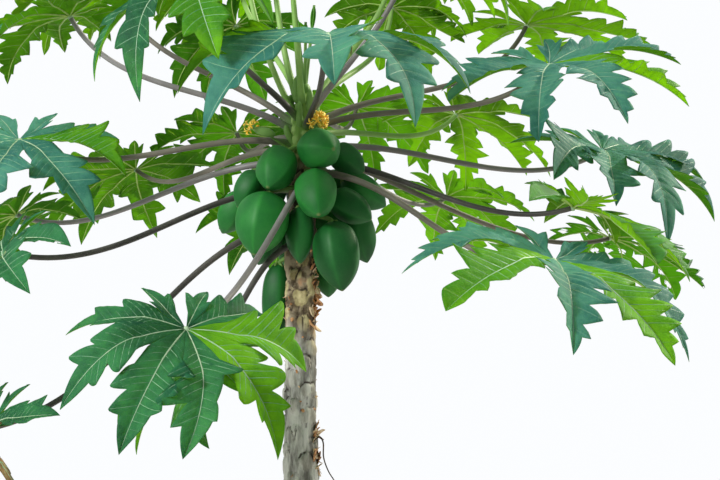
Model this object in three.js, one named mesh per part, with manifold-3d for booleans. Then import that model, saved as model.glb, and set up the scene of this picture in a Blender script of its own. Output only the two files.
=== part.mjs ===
// A young papaya tree, whole, rooted at the origin. Millimetres, +Z up, its front towards -Y.
// One unbranched trunk carries a crown of long-stalked lobed leaves, and the fruits hang close round
// the trunk under them, each on a short stalk of its own.

import * as THREE from 'three';
import { mergeVertices } from 'three/addons/utils/BufferGeometryUtils.js';
import Module from 'manifold-3d';

const wasm = await Module();
wasm.setup();

const GAP = 0.3;
const DEG = Math.PI / 180;

// Trunk: radii of the body at the ground and at the neck under the growing tip, and the root flare.
const TRUNK_HEIGHT = 2045;
const FOOT_RADIUS = 60;
const NECK_RADIUS = 34;
const NECK_HEIGHT = 1925;
const TAPER_POWER = 0.75;
const TIP_BLUNTNESS = 0.92;
const FLARE_RADIUS = 24;
const FLARE_HEIGHT = 75;
const FLARE_BUTTRESSES = 5;
const BUTTRESS_CREST = 0.25;
const TRUNK_SWAY = 8;
const SWAY_LENGTH = 1900;
const TRUNK_SIDES = 16;
const ROOT_RINGS = [0, 25, 60, 110, 190, 320];
const TRUNK_STEP = 260;
const TIP_RINGS = [1980, 2018, 2036];
const TIP_POINT = 4;

// Leaf blade: main lobes fan out from the stalk's end, and each side of a lobe is cut into two pointed
// teeth with a notch between them, given as shares of the lobe's length, along its rib and across it.
const LOBE_ANGLES = [0, 37, 74, 111, 148];
const LOBE_LENGTHS = [1, 0.98, 0.88, 0.72, 0.42];
const SMALL_LOBE = 0.5;
const SINUS_REACH = 0.36;
const BACK_HALF_ANGLE = 16;
const EDGE_CUTS = [[0.7, 0.22], [0.66, 0.085], [0.88, 0.13]];
const RIB_STATIONS = [0.34, 0.6];
const BLADE_THICKNESS = 7;
const HUB_LIFT = 12;
const DROOP_POWER = 1.2;
const RIB_FOLD = 0.3;
const BEND_STEPS = 6;

// Leaf stalk: thick at the foot. It leaves the trunk at its own slope, eased and raised, and turns up
// at the end. Angles are in degrees, the swell and the pull are shares of the stalk's length.
const STALK_FOOT_RADIUS = 12;
const STALK_RADIUS = 8.5;
const STALK_END_RADIUS = 6.5;
const STALK_SWELL = 0.08;
const STALK_RISE = 12;
const STALK_UPTURN = 30;
const STALK_EASE = 0.25;
const STALK_STEEPEST = 80;
const STALK_PULL = 0.36;
const STALK_SIDES = 5;
const STALK_STEPS = 6;

// Fruit: a pear-like body, given along its length from the stalk and across it, as shares of each.
const FRUIT_PROFILE = [
  [0.04, 0.45], [0.16, 0.84], [0.42, 1.01], [0.68, 0.87], [0.87, 0.52], [0.96, 0.24],
];
const FRUIT_SIDES = 8;
const FRUIT_STALK_RADIUS = 7;
const FRUIT_STALK_RISE = 25;
const FRUIT_STALK_SINK = 12;

// Growing tip, young shoots and flower clusters.
const TIP_BUD_RADIUS = 15;
const TIP_BUD_SIDES = 8;
const TIP_BUD_RINGS = 5;
const SHOOTS = 3;
const SHOOT_TURN = 137.5;
const SHOOT_STEEPEST = 84;
const SHOOT_SPREAD = 3;
const SHOOT_LENGTH = 230;
const SHOOT_SHORTENING = 25;
const SHOOT_RADIUS = 5;
const FLOWER_STALK_RADIUS = 4;
const BUD_LENGTH = 24;
const BUD_RADIUS = 7;
const BUD_RISES = [20, 50, 35];
const SLIM_SIDES = 4;
const SPINDLE_END = 0.15;
const SPINDLE_STEPS = 2;

const BARK = { color: 0xa5937c, roughness: 0.9, metalness: 0 };
const LEAF = { color: 0x3f7a3a, roughness: 0.55, metalness: 0 };
const YOUNG = { color: 0x8dbb3f, roughness: 0.5, metalness: 0 };
const FRUIT = { color: 0x3d8a34, roughness: 0.4, metalness: 0 };
const FLOWER = { color: 0xe8b04a, roughness: 0.6, metalness: 0 };

// Leaves: where the stalk ends (azimuth, reach from the trunk's middle, height), where it leaves the trunk
// (azimuth, height), then the blade's radius, its turn from the stalk's azimuth, and how far it noses
// down, lifts its left side and droops at the tips.
const LEAVES = [
  ['front_low', -110, 640, 1437, -94, 1800, 350, 46, 38, 0, 68],
  ['front_low_inner', -124, 420, 1372, -135, 1650, 270, -10, 45, 0, 60],
  ['front_top', -81, 456, 2085, -75, 1945, 445, -5, 8, 0, 90],
  ['front_right', -41, 762, 1585, -30, 1832, 400, -52, 16, -15, 52],
  ['front_left_bottom', -143, 834, 1219, -163, 1705, 330, 0, 45, 0, 60],
  ['front_left_top', -116, 500, 2220, -126, 1968, 365, -8, 24, 0, 88],
  ['left_front', -149, 775, 1609, 170, 1790, 340, 0, 42, 0, 60],
  ['left_front_top', -172, 600, 2225, -160, 1935, 340, 0, 16, 0, 58],
  ['left', -170, 720, 1900, -172, 1905, 365, 82, 26, 0, 62],
  ['left_rear', 164, 845, 1738, 170, 1856, 325, 0, 30, 0, 60],
  ['left_rear_low', 137, 720, 1892, 143, 1888, 350, 0, 28, 0, 58],
  ['left_rear_top', 151, 650, 2440, 145, 1950, 350, 0, 16, 0, 58],
  ['right', 9, 817, 1905, 18, 1893, 372, -64, 24, 0, 54],
  ['right_front', -14, 640, 2085, -12, 1945, 385, -52, 20, 14, 44],
  ['right_front_low', -17, 700, 1725, 24, 1864, 345, 0, 24, 0, 54],
  ['right_rear_top', 29, 725, 2300, 30, 1955, 390, 0, 8, 0, 50],
  ['right_rear', 38, 540, 2035, 45, 1925, 340, 0, 22, 0, 60],
  ['right_rear_low', 23, 950, 1680, 52, 1878, 330, 0, 26, 0, 58],
  ['top_right', -15, 285, 2395, -15, 1985, 355, 4, 14, 0, 82],
  ['rear_left', 111, 660, 2020, 122, 1915, 340, 0, 26, 0, 60],
  ['rear_low', 97, 800, 1800, 98, 1872, 350, 0, 30, 0, 60],
  ['rear_right_low', 60, 850, 1830, 74, 1900, 360, 0, 28, 0, 60],
  ['rear', 78, 660, 2105, 74, 1960, 365, 0, 24, 0, 60],
  ['rear_right_top', 52, 410, 2495, 62, 1985, 325, 4, 20, 0, 68],
  ['rear_top', 123, 400, 2490, 108, 1998, 345, 0, 32, 0, 72],
  ['rear_high', 121, 415, 2300, 101, 1932, 300, 0, 30, 0, 70],
  ['right_rear_high', 55, 420, 2350, 33, 2013, 280, 6, 20, 0, 68],
];

// Young leaves, in the same columns, half open on upright stalks.
const YOUNG_LEAVES = [
  ['young_leaf_front', -108, 110, 2440, -100, 2005, 175, 10, 5, 0, 35],
  ['young_leaf_rear', 165, 110, 2540, 160, 2022, 170, 0, 0, 0, 25],
  ['young_leaf_left', -165, 150, 2330, -172, 1968, 180, 0, 0, 0, 30],
];

// Fruits: azimuth, reach and height of the middle, length and width, the azimuth that the tip points to,
// and how far the fruit swings out from hanging straight down.
const FRUITS = [
  ['fruit_01', -67, 128, 1880, 128, 104, -58, 84],
  ['fruit_02', -11, 120, 1862, 106, 78, -12, 52],
  ['fruit_03', -121, 124, 1827, 138, 102, -112, 45],
  ['fruit_04', -75, 155, 1760, 150, 106, -82, 45],
  ['fruit_05', -161, 148, 1784, 108, 76, -168, 30],
  ['fruit_06', -129, 158, 1690, 168, 134, -125, 20],
  ['fruit_07', 158, 205, 1732, 126, 84, 165, 30],
  ['fruit_08', -92, 84, 1664, 146, 74, -90, 4],
  ['fruit_09', -49, 140, 1610, 180, 118, -50, 12],
  ['fruit_10', -25, 139, 1738, 126, 84, -15, 58],
  ['fruit_11', 14, 165, 1784, 136, 88, 12, 58],
  ['fruit_12', 13, 148, 1670, 152, 92, 12, 18],
  ['fruit_13', 152, 82, 1490, 210, 80, 152, 3],
  ['fruit_14', 148, 124, 1655, 130, 88, 150, 18],
  ['fruit_15', 44, 86, 1562, 110, 74, 44, 4],
  ['fruit_16', 58, 134, 1660, 160, 102, 58, 20],
  ['fruit_17', 92, 134, 1778, 145, 96, 92, 38],
  ['fruit_18', 104, 134, 1650, 160, 102, 104, 18],
  ['fruit_19', 49, 140, 1788, 138, 88, 48, 40],
  ['fruit_20', 135, 135, 1780, 136, 86, 135, 35],
];

// Flower clusters: azimuth, height of the foot, length of the stalk and its rise above level.
const FLOWERS = [
  ['flowers_front', -55, 1905, 66, 30],
  ['flowers_left', -152, 1868, 95, 30],
];

function direction(azimuth, elevation = 0) {
  const level = Math.cos(elevation * DEG);
  return new THREE.Vector3(
    level * Math.cos(azimuth * DEG), level * Math.sin(azimuth * DEG), Math.sin(elevation * DEG));
}

function polar(azimuth, reach, height) {
  return direction(azimuth).multiplyScalar(reach).setZ(height);
}

function meshed(points, triangles) {
  const geometry = new THREE.BufferGeometry();
  const numbers = points.flatMap((point) => point.toArray());
  geometry.setAttribute('position', new THREE.Float32BufferAttribute(numbers, 3));
  geometry.setIndex(triangles.flat());
  return geometry;
}

function toSolid(geometry) {
  const shape = geometry.clone();
  shape.deleteAttribute('normal');
  shape.deleteAttribute('uv');
  const merged = mergeVertices(shape);
  return new wasm.Manifold(new wasm.Mesh({
    numProp: 3,
    vertProperties: merged.attributes.position.array,
    triVerts: Uint32Array.from(merged.index.array),
  }));
}

function toGeometry(solid) {
  const { vertProperties, triVerts } = solid.getMesh();
  const geometry = new THREE.BufferGeometry();
  geometry.setAttribute('position', new THREE.BufferAttribute(vertProperties, 3));
  geometry.setIndex(new THREE.BufferAttribute(triVerts, 1));
  return geometry;
}

// A closed skin over rings of points that run counterclockwise seen from the end, with a point at each end.
function skin(start, rings, end) {
  const sides = rings[0].length;
  const points = [start, ...rings.flat(), end];
  const last = rings.length - 1;
  const at = (ring, side) => 1 + ring * sides + (side % sides);
  const triangles = [];
  for (let side = 0; side < sides; side += 1) {
    triangles.push([0, at(0, side + 1), at(0, side)]);
    for (let ring = 0; ring < last; ring += 1) {
      triangles.push([at(ring, side), at(ring, side + 1), at(ring + 1, side + 1)]);
      triangles.push([at(ring, side), at(ring + 1, side + 1), at(ring + 1, side)]);
    }
    triangles.push([points.length - 1, at(last, side), at(last, side + 1)]);
  }
  return meshed(points, triangles);
}

// The trunk's middle line sways gently to one side and the other, from straight above the origin.
function trunkMiddle(height) {
  return TRUNK_SWAY * Math.sin((2 * Math.PI * height) / SWAY_LENGTH);
}

function trunkRadius(height, angle) {
  const share = Math.min(height / NECK_HEIGHT, 1);
  const body = THREE.MathUtils.lerp(FOOT_RADIUS, NECK_RADIUS, share ** TAPER_POWER);
  const crest = 1 + BUTTRESS_CREST * Math.cos(FLARE_BUTTRESSES * angle);
  const flare = FLARE_RADIUS * Math.exp(-height / FLARE_HEIGHT) * crest;
  const tip = Math.max(height - NECK_HEIGHT, 0) / (TRUNK_HEIGHT - NECK_HEIGHT);
  return (body + flare) * Math.sqrt(1 - TIP_BLUNTNESS * tip * tip);
}

// The trunk, or the same shape grown by a clearance to cut what meets it.
function makeTrunk(clearance = 0) {
  const heights = [...ROOT_RINGS];
  while (heights.at(-1) < NECK_HEIGHT - 1.5 * TRUNK_STEP) heights.push(heights.at(-1) + TRUNK_STEP);
  heights.push(NECK_HEIGHT, ...TIP_RINGS, TRUNK_HEIGHT);
  const rings = heights.map((height) => {
    const ring = [];
    for (let side = 0; side < TRUNK_SIDES; side += 1) {
      const angle = (2 * Math.PI * side) / TRUNK_SIDES;
      const radius = trunkRadius(height, angle) + clearance;
      const [x, y] = [radius * Math.cos(angle), radius * Math.sin(angle)];
      ring.push(new THREE.Vector3(trunkMiddle(height) + x, y, height));
    }
    return ring;
  });
  const tip = new THREE.Vector3(trunkMiddle(TRUNK_HEIGHT), 0, TRUNK_HEIGHT + TIP_POINT + clearance);
  return skin(new THREE.Vector3(0, 0, 0), rings, tip);
}

const TRUNK_CLEARANCE = toSolid(makeTrunk(GAP));

// A round limb along a curve, its radius given by the share of the way along.
function makeLimb(curve, radiusAt, sides, steps) {
  const frames = curve.computeFrenetFrames(steps, false);
  const rings = [];
  for (let step = 0; step <= steps; step += 1) {
    const ring = [];
    for (let side = 0; side < sides; side += 1) {
      const angle = (2 * Math.PI * side) / sides;
      ring.push(curve.getPointAt(step / steps)
        .addScaledVector(frames.normals[step], radiusAt(step / steps) * Math.cos(angle))
        .addScaledVector(frames.binormals[step], radiusAt(step / steps) * Math.sin(angle)));
    }
    rings.push(ring);
  }
  return skin(curve.getPointAt(0), rings, curve.getPointAt(1));
}

function stalkRadius(share) {
  const swell = (STALK_FOOT_RADIUS - STALK_RADIUS) * Math.exp(-share / STALK_SWELL);
  return THREE.MathUtils.lerp(STALK_RADIUS, STALK_END_RADIUS, share) + swell;
}

function stalkCurve(azimuth, reach, height, footAzimuth, foot) {
  const start = polar(footAzimuth, NECK_RADIUS / 2, foot);
  const end = polar(azimuth, reach, height);
  const pull = start.distanceTo(end) * STALK_PULL;
  const slope = Math.atan2(height - foot, reach) / DEG;
  const leave = direction(footAzimuth, Math.min(slope * (1 - STALK_EASE) + STALK_RISE, STALK_STEEPEST));
  const arrive = direction(azimuth, Math.min(slope * (1 + STALK_EASE) + STALK_UPTURN, STALK_STEEPEST));
  return new THREE.CubicBezierCurve3(
    start, start.clone().addScaledVector(leave, pull), end.clone().addScaledVector(arrive, -pull), end);
}

// The blade's axes: out along the front lobe, side to its left, up out of its upper face.
function bladeAxes(heading, pitch, roll) {
  const out = direction(heading, -pitch);
  const level = direction(heading + 90);
  const top = out.clone().cross(level);
  const [cos, sin] = [Math.cos(roll * DEG), Math.sin(roll * DEG)];
  return {
    out,
    side: level.clone().multiplyScalar(cos).addScaledVector(top, sin),
    up: top.clone().multiplyScalar(cos).addScaledVector(level, -sin),
  };
}

// A point of the blade, from its place along and across one lobe. The blade rises a little round the hub
// and bends down towards the tips, and both halves of a lobe fold up from its rib.
function bladePoint(blade, lobeAngle, along, across, offset) {
  const reach = Math.hypot(along, across);
  const bearing = lobeAngle * DEG + Math.atan2(across, along);
  const bendAt = (share) => (HUB_LIFT - blade.droop * (share * reach / blade.radius) ** DROOP_POWER) * DEG;
  let flat = -offset * Math.sin(bendAt(1));
  let rise = offset * Math.cos(bendAt(1)) + RIB_FOLD * Math.abs(across);
  for (let step = 0; step < BEND_STEPS; step += 1) {
    const bend = bendAt((step + 0.5) / BEND_STEPS);
    flat += (Math.cos(bend) * reach) / BEND_STEPS;
    rise += (Math.sin(bend) * reach) / BEND_STEPS;
  }
  return blade.hub.clone()
    .addScaledVector(blade.axes.out, flat * Math.cos(bearing))
    .addScaledVector(blade.axes.side, flat * Math.sin(bearing))
    .addScaledVector(blade.axes.up, rise);
}

// The rib and the cut edge of one half of a lobe, from the hub and the sinus out to their common tip.
function lobeHalf(lobe, hand, neighbour) {
  const small = lobe.share < SMALL_LOBE;
  const place = (along, across = 0) => (
    { along: along * lobe.length, across: hand * across * lobe.length });
  const half = neighbour ? Math.abs(neighbour.angle - lobe.angle) / 2 : BACK_HALF_ANGLE;
  const shorter = neighbour ? Math.min(lobe.length, neighbour.length) : lobe.length;
  const reach = (SINUS_REACH * shorter) / lobe.length;
  const tip = { key: `tip ${lobe.angle}`, ...place(1) };
  const stations = small ? [] : RIB_STATIONS;
  const cuts = small ? [] : EDGE_CUTS;
  const rib = stations.map((share) => ({ key: `rib ${lobe.angle} ${share}`, ...place(share) }));
  const edge = cuts.map((cut, k) => ({ key: `edge ${lobe.angle} ${hand} ${k}`, ...place(...cut) }));
  const sinus = {
    key: `sinus ${lobe.angle + hand * half}`,
    ...place(reach * Math.cos(half * DEG), reach * Math.sin(half * DEG)),
  };
  return { rib: [{ key: 'hub', along: 0, across: 0 }, ...rib, tip], edge: [sinus, ...edge, tip] };
}

// Triples of points that fill the strip between a rib and an edge which end at the same tip.
function zip(rib, edge) {
  const triples = [];
  let [r, e] = [0, 0];
  while (r + 2 < rib.length || e + 2 < edge.length) {
    const ribFirst = rib[r + 1].along <= edge[e + 1].along;
    if (e + 2 === edge.length || (r + 2 < rib.length && ribFirst)) {
      triples.push([rib[r], rib[r + 1], edge[e]]);
      r += 1;
    } else {
      triples.push([rib[r], edge[e + 1], edge[e]]);
      e += 1;
    }
  }
  triples.push([rib[r], rib[r + 1], edge[e]]);
  return triples;
}

// A blade of one thickness, its outline cut to the ribs between the lobes and again along each lobe.
function makeBlade(blade) {
  const points = [];
  const triangles = [];
  const known = new Map();
  const lobes = LOBE_ANGLES.flatMap((angle, k) => {
    const lobe = { share: LOBE_LENGTHS[k], length: LOBE_LENGTHS[k] * blade.radius };
    return angle ? [{ ...lobe, angle }, { ...lobe, angle: -angle }] : [{ ...lobe, angle }];
  }).sort((one, other) => one.angle - other.angle);
  const corner = (lobe, point, face) => {
    const key = `${point.key} ${face}`;
    if (!known.has(key)) {
      known.set(key, points.length);
      points.push(bladePoint(blade, lobe.angle, point.along, point.across, (face * BLADE_THICKNESS) / 2));
    }
    return known.get(key);
  };
  const face = (corners, hand) => triangles.push(hand > 0 ? corners : corners.reverse());
  const wall = (lobe, from, to, hand) => {
    const sides = [[from, 1], [to, 1], [to, -1], [from, -1]];
    const quad = sides.map(([point, side]) => corner(lobe, point, side));
    face([quad[0], quad[1], quad[2]], hand);
    face([quad[0], quad[2], quad[3]], hand);
  };
  lobes.forEach((lobe, index) => {
    for (const hand of [-1, 1]) {
      const neighbour = lobes[index + hand];
      const { rib, edge } = lobeHalf(lobe, hand, neighbour);
      for (const triple of zip(rib, edge)) {
        face(triple.map((point) => corner(lobe, point, 1)), hand);
        face(triple.map((point) => corner(lobe, point, -1)), -hand);
      }
      if (!neighbour) wall(lobe, rib[0], edge[0], hand);
      for (let k = 0; k + 1 < edge.length; k += 1) wall(lobe, edge[k], edge[k + 1], hand);
    }
  });
  return meshed(points, triangles);
}

function makeLeaf([, azimuth, reach, height, footAzimuth, foot, radius, turn, pitch, roll, droop]) {
  const axes = bladeAxes(azimuth + turn, pitch, roll);
  const blade = { hub: polar(azimuth, reach, height), radius, droop, axes };
  const curve = stalkCurve(azimuth, reach, height, footAzimuth, foot);
  const stalk = makeLimb(curve, stalkRadius, STALK_SIDES, STALK_STEPS);
  return toGeometry(toSolid(makeBlade(blade)).add(toSolid(stalk)).subtract(TRUNK_CLEARANCE));
}

// A fruit body hung along its own axis, joined to a short stalk that rises to it from the trunk.
function makeFruit([, azimuth, reach, height, length, width, heading, lean]) {
  const axis = direction(heading, lean - 90);
  const across = direction(heading + 90);
  const outward = axis.clone().cross(across);
  const top = polar(azimuth, reach, height).addScaledVector(axis, -length / 2);
  const rings = FRUIT_PROFILE.map(([along, share]) => {
    const ring = [];
    for (let side = 0; side < FRUIT_SIDES; side += 1) {
      const angle = (2 * Math.PI * side) / FRUIT_SIDES;
      ring.push(top.clone()
        .addScaledVector(axis, along * length)
        .addScaledVector(across, (share * width * Math.cos(angle)) / 2)
        .addScaledVector(outward, (share * width * Math.sin(angle)) / 2));
    }
    return ring;
  });
  const body = skin(top, rings, top.clone().addScaledVector(axis, length));
  const foot = new THREE.Vector3(trunkMiddle(top.z), 0, top.z + FRUIT_STALK_RISE);
  const end = top.clone().addScaledVector(axis, FRUIT_STALK_SINK);
  const stalk = makeLimb(new THREE.LineCurve3(foot, end), () => FRUIT_STALK_RADIUS, STALK_SIDES, 1);
  return toGeometry(toSolid(body).add(toSolid(stalk)).subtract(TRUNK_CLEARANCE));
}

// A spindle, nearly pointed at both ends.
function spindle(start, end, radius) {
  const middle = new THREE.LineCurve3(start, end);
  const radiusAt = (share) => radius * (SPINDLE_END + Math.sin(Math.PI * share));
  return makeLimb(middle, radiusAt, SLIM_SIDES, SPINDLE_STEPS);
}

function makeFlowers([, azimuth, foot, length, rise]) {
  const start = new THREE.Vector3(trunkMiddle(foot), 0, foot);
  const end = start.clone().addScaledVector(direction(azimuth, rise), NECK_RADIUS + length);
  const stalk = makeLimb(new THREE.LineCurve3(start, end), () => FLOWER_STALK_RADIUS, SLIM_SIDES, 1);
  let solid = toSolid(stalk);
  BUD_RISES.forEach((budRise, bud) => {
    const lean = direction(azimuth + (360 * bud) / BUD_RISES.length, budRise);
    const tip = end.clone().addScaledVector(lean, BUD_LENGTH);
    solid = solid.add(toSolid(spindle(end, tip, BUD_RADIUS)));
  });
  return toGeometry(solid.subtract(TRUNK_CLEARANCE));
}

// The growing tip: a bud on top of the trunk with young folded leaves standing round it.
function makeGrowingTip() {
  const middle = new THREE.Vector3(trunkMiddle(TRUNK_HEIGHT), 0, TRUNK_HEIGHT);
  const bud = new THREE.SphereGeometry(TIP_BUD_RADIUS, TIP_BUD_SIDES, TIP_BUD_RINGS);
  bud.translate(middle.x, middle.y, middle.z + TIP_BUD_RADIUS / 2);
  let solid = toSolid(bud);
  for (let shoot = 0; shoot < SHOOTS; shoot += 1) {
    const lean = direction(SHOOT_TURN * shoot, SHOOT_STEEPEST - SHOOT_SPREAD * shoot);
    const end = middle.clone().addScaledVector(lean, SHOOT_LENGTH - SHOOT_SHORTENING * shoot);
    solid = solid.add(toSolid(spindle(middle, end, SHOOT_RADIUS)));
  }
  return toGeometry(solid.subtract(TRUNK_CLEARANCE));
}

function named(name, geometry, finish) {
  const mesh = new THREE.Mesh(geometry, new THREE.MeshStandardMaterial(finish));
  mesh.name = name;
  return mesh;
}

const tree = new THREE.Group();
tree.name = 'papaya_tree';
tree.add(named('trunk', makeTrunk(), BARK));
tree.add(named('growing_tip', makeGrowingTip(), YOUNG));
LEAVES.forEach((row) => tree.add(named(`leaf_${row[0]}`, makeLeaf(row), LEAF)));
YOUNG_LEAVES.forEach((row) => tree.add(named(row[0], makeLeaf(row), YOUNG)));
FRUITS.forEach((row) => tree.add(named(row[0], makeFruit(row), FRUIT)));
FLOWERS.forEach((row) => tree.add(named(row[0], makeFlowers(row), FLOWER)));

export default tree;
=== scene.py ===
# %% [markdown]
# # A papaya tree
# The plant is one soft, unbranched trunk with a crown of long-stalked, deeply lobed leaves, and its
# fruits sit close round the trunk under them. The measured solids come first, because every piece
# below takes its place from them. The same driving sizes are repeated here in metres, so that a leaf
# drawn with fine veins lies exactly where its plain solid does.

# %% Load the frame
import math

import bpy
import numpy as np
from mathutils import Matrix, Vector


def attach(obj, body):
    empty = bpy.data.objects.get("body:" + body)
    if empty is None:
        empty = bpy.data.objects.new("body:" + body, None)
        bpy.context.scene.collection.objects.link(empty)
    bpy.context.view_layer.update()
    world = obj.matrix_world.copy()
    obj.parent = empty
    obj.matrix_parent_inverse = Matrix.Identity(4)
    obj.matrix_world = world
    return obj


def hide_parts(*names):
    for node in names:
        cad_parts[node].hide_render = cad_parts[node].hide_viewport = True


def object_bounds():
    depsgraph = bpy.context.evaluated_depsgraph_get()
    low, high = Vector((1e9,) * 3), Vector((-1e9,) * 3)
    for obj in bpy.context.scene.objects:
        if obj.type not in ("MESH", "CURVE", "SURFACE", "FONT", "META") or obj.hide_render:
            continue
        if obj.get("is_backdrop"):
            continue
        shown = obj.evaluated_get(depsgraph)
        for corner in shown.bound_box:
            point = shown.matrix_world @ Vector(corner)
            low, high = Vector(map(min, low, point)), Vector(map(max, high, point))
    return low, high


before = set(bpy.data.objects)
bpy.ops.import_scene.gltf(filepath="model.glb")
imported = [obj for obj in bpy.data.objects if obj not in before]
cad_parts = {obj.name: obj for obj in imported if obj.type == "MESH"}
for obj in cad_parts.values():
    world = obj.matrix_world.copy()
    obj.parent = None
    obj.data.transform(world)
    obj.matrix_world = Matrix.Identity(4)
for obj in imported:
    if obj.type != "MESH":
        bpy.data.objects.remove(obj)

CAD_BOX = [list(corner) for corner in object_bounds()]
BODY = "root"
MM = 0.001
SEED = 20
chance = np.random.default_rng(SEED)
print("measured box in metres:", CAD_BOX, "solids:", len(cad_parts))

# %% [markdown]
# ## Camera
# The photograph looks up a little at the crown from about three metres, level with the lowest leaves.
# The camera comes early, so that everything made after it can be judged through it. Its pitch follows
# from where the horizon lies in the frame, and its lens from how wide the crown appears.

# %% Camera
FRAME_WIDE, FRAME_HIGH = 720, 480
HORIZON_ROW = 300
FOCAL_PIXELS = 1230
SENSOR = 36.0
CAMERA_PLACE = (0.148, -3.2, 1.5)

camera_data = bpy.data.cameras.new("camera")
camera_data.sensor_width = SENSOR
camera_data.lens = FOCAL_PIXELS / FRAME_WIDE * SENSOR
camera_data.clip_start, camera_data.clip_end = 0.05, 200
camera = bpy.data.objects.new("camera", camera_data)
camera.location = CAMERA_PLACE
pitch = math.atan2(HORIZON_ROW - FRAME_HIGH / 2, FOCAL_PIXELS)
camera.rotation_euler = (math.pi / 2 + pitch, 0, 0)
bpy.context.scene.collection.objects.link(camera)
bpy.context.scene.camera = camera
print("lens in mm:", round(camera_data.lens, 1), "pitch in degrees:", round(math.degrees(pitch), 2))

# %% [markdown]
# ## Arrays of points
# Leaves, fruits and bark are all made from arrays: a mesh in Blender is only a list of points, a list
# of triangles, and a finish for each triangle. A small pile gathers them, so that the parts of one
# piece, such as a blade, its ribs and its stalk, end up in one object.

# %% Directions and piles
def direction(azimuth, elevation=0.0):
    azimuth, elevation = np.radians(azimuth), np.radians(elevation)
    level = np.cos(elevation)
    return np.stack([level * np.cos(azimuth), level * np.sin(azimuth), np.sin(elevation)], axis=-1)


def polar(azimuth, reach, height):
    return direction(azimuth) * reach + np.array([0.0, 0.0, height])


def unit(vectors):
    return vectors / np.maximum(np.linalg.norm(vectors, axis=-1, keepdims=True), 1e-12)


class Pile:
    """Points and triangles that become one object, with two texture numbers on every point."""

    def __init__(self):
        self.points, self.triangles, self.kinds, self.marks = [], [], [], []
        self.count = 0

    def add(self, points, triangles, kind, marks=None):
        points = np.asarray(points, dtype=float).reshape(-1, 3)
        triangles = np.asarray(triangles, dtype=int).reshape(-1, 3)
        self.points.append(points)
        self.triangles.append(triangles + self.count)
        self.kinds.append(np.broadcast_to(np.asarray(kind), len(triangles)))
        self.marks.append(np.zeros((len(points), 2)) if marks is None else marks)
        self.count += len(points)

    def piece(self, name, finishes, slot, replaces=()):
        points, triangles = np.concatenate(self.points), np.concatenate(self.triangles)
        kinds, marks = np.concatenate(self.kinds), np.concatenate(self.marks)
        mesh = bpy.data.meshes.new(name)
        mesh.vertices.add(len(points))
        mesh.vertices.foreach_set("co", points.astype(np.float32).ravel())
        mesh.loops.add(triangles.size)
        mesh.loops.foreach_set("vertex_index", triangles.astype(np.int32).ravel())
        mesh.polygons.add(len(triangles))
        mesh.polygons.foreach_set("loop_start", np.arange(0, triangles.size, 3, dtype=np.int32))
        mesh.polygons.foreach_set("material_index", kinds.astype(np.int32))
        mesh.polygons.foreach_set("use_smooth", np.ones(len(triangles), dtype=bool))
        layer = mesh.uv_layers.new(name="marks")
        layer.data.foreach_set("uv", marks[triangles.ravel()].astype(np.float32).ravel())
        mesh.update(calc_edges=True)
        mesh.validate()
        for finish in finishes:
            mesh.materials.append(finish)
        made = bpy.data.objects.new(name, mesh)
        bpy.context.scene.collection.objects.link(made)
        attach(made, BODY)
        if replaces:
            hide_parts(*replaces)
        return made


# %% [markdown]
# ## Tubes
# Stalks, ribs, veins and shoots are all round and tapering. Blender could bevel a curve for each, but
# a sweep in code gives the radius at every step and keeps hundreds of veins in one mesh. The ring is
# carried along without twisting, and both ends are closed, so that the mesh has no open edge.

# %% Close a grid into a skin
def grid_triangles(rows, columns, closed):
    wide = columns if closed else columns - 1
    row, column = np.meshgrid(np.arange(rows - 1), np.arange(wide), indexing="ij")
    here, beside = row * columns + column, row * columns + (column + 1) % columns
    quads = np.stack([here, beside, beside + columns, here + columns], axis=-1).reshape(-1, 4)
    return np.concatenate([quads[:, [0, 1, 2]], quads[:, [0, 2, 3]]])


def closed_skin(grid, first, last):
    """Points and triangles of a grid of rings, closed by a fan to the first and the last point."""
    rows, around = grid.shape[:2]
    points = np.concatenate([grid.reshape(-1, 3), [first], [last]])
    side, base = np.arange(around), (rows - 1) * around
    after = (side + 1) % around
    fans = [np.stack([np.full(around, len(points) - 2), after, side], axis=-1),
            np.stack([np.full(around, len(points) - 1), base + side, base + after], axis=-1)]
    return points, np.concatenate([grid_triangles(rows, around, True), *fans])


def turns(sides):
    return 2 * np.pi * np.arange(sides) / sides


def spread_marks(one, other):
    """Two texture numbers for every point of a grid, from a row, a column or a whole grid each."""
    return np.stack(np.broadcast_arrays(one, other), axis=-1).reshape(-1, 2)


def closed_marks(one, other):
    """The same for a grid that is closed at both ends, which has one more point at each."""
    return np.concatenate([spread_marks(one, other), [[0, 0], [0, 1]]])


# %% Sweep a tube along a path
def carried_frames(path, up=None):
    along = unit(np.gradient(path, axis=0))
    start = np.array([0.0, 0.0, 1.0]) if abs(along[0][2]) < 0.9 else np.array([1.0, 0.0, 0.0])
    start = start if up is None else up
    ups = []
    for tangent in along:
        start = unit(start - tangent * np.dot(start, tangent))
        ups.append(start)
    ups = np.array(ups)
    return ups, np.cross(along, ups)


def tube(path, radii, sides=12, squash=1.0, up=None):
    """Points and triangles of a closed tube. Its first side, which squash flattens, faces up."""
    path = np.asarray(path, dtype=float)
    radii = np.broadcast_to(np.asarray(radii, dtype=float), len(path))
    ups, wides = carried_frames(path, up)
    turn = turns(sides)[None, :, None]
    ring = np.cos(turn) * ups[:, None] * squash + np.sin(turn) * wides[:, None]
    return closed_skin(path[:, None] + radii[:, None, None] * ring, path[0], path[-1])


def bezier(start, leave, arrive, end, steps):
    t = np.linspace(0, 1, steps)[:, None]
    return (1 - t) ** 3 * start + 3 * (1 - t) ** 2 * t * leave + 3 * (1 - t) * t ** 2 * arrive + t ** 3 * end


def spindle(start, end, steps):
    """Shares of a radius that swell and shrink along a tube, as a sine does between two angles."""
    return np.sin(np.linspace(start, end, steps))


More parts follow.
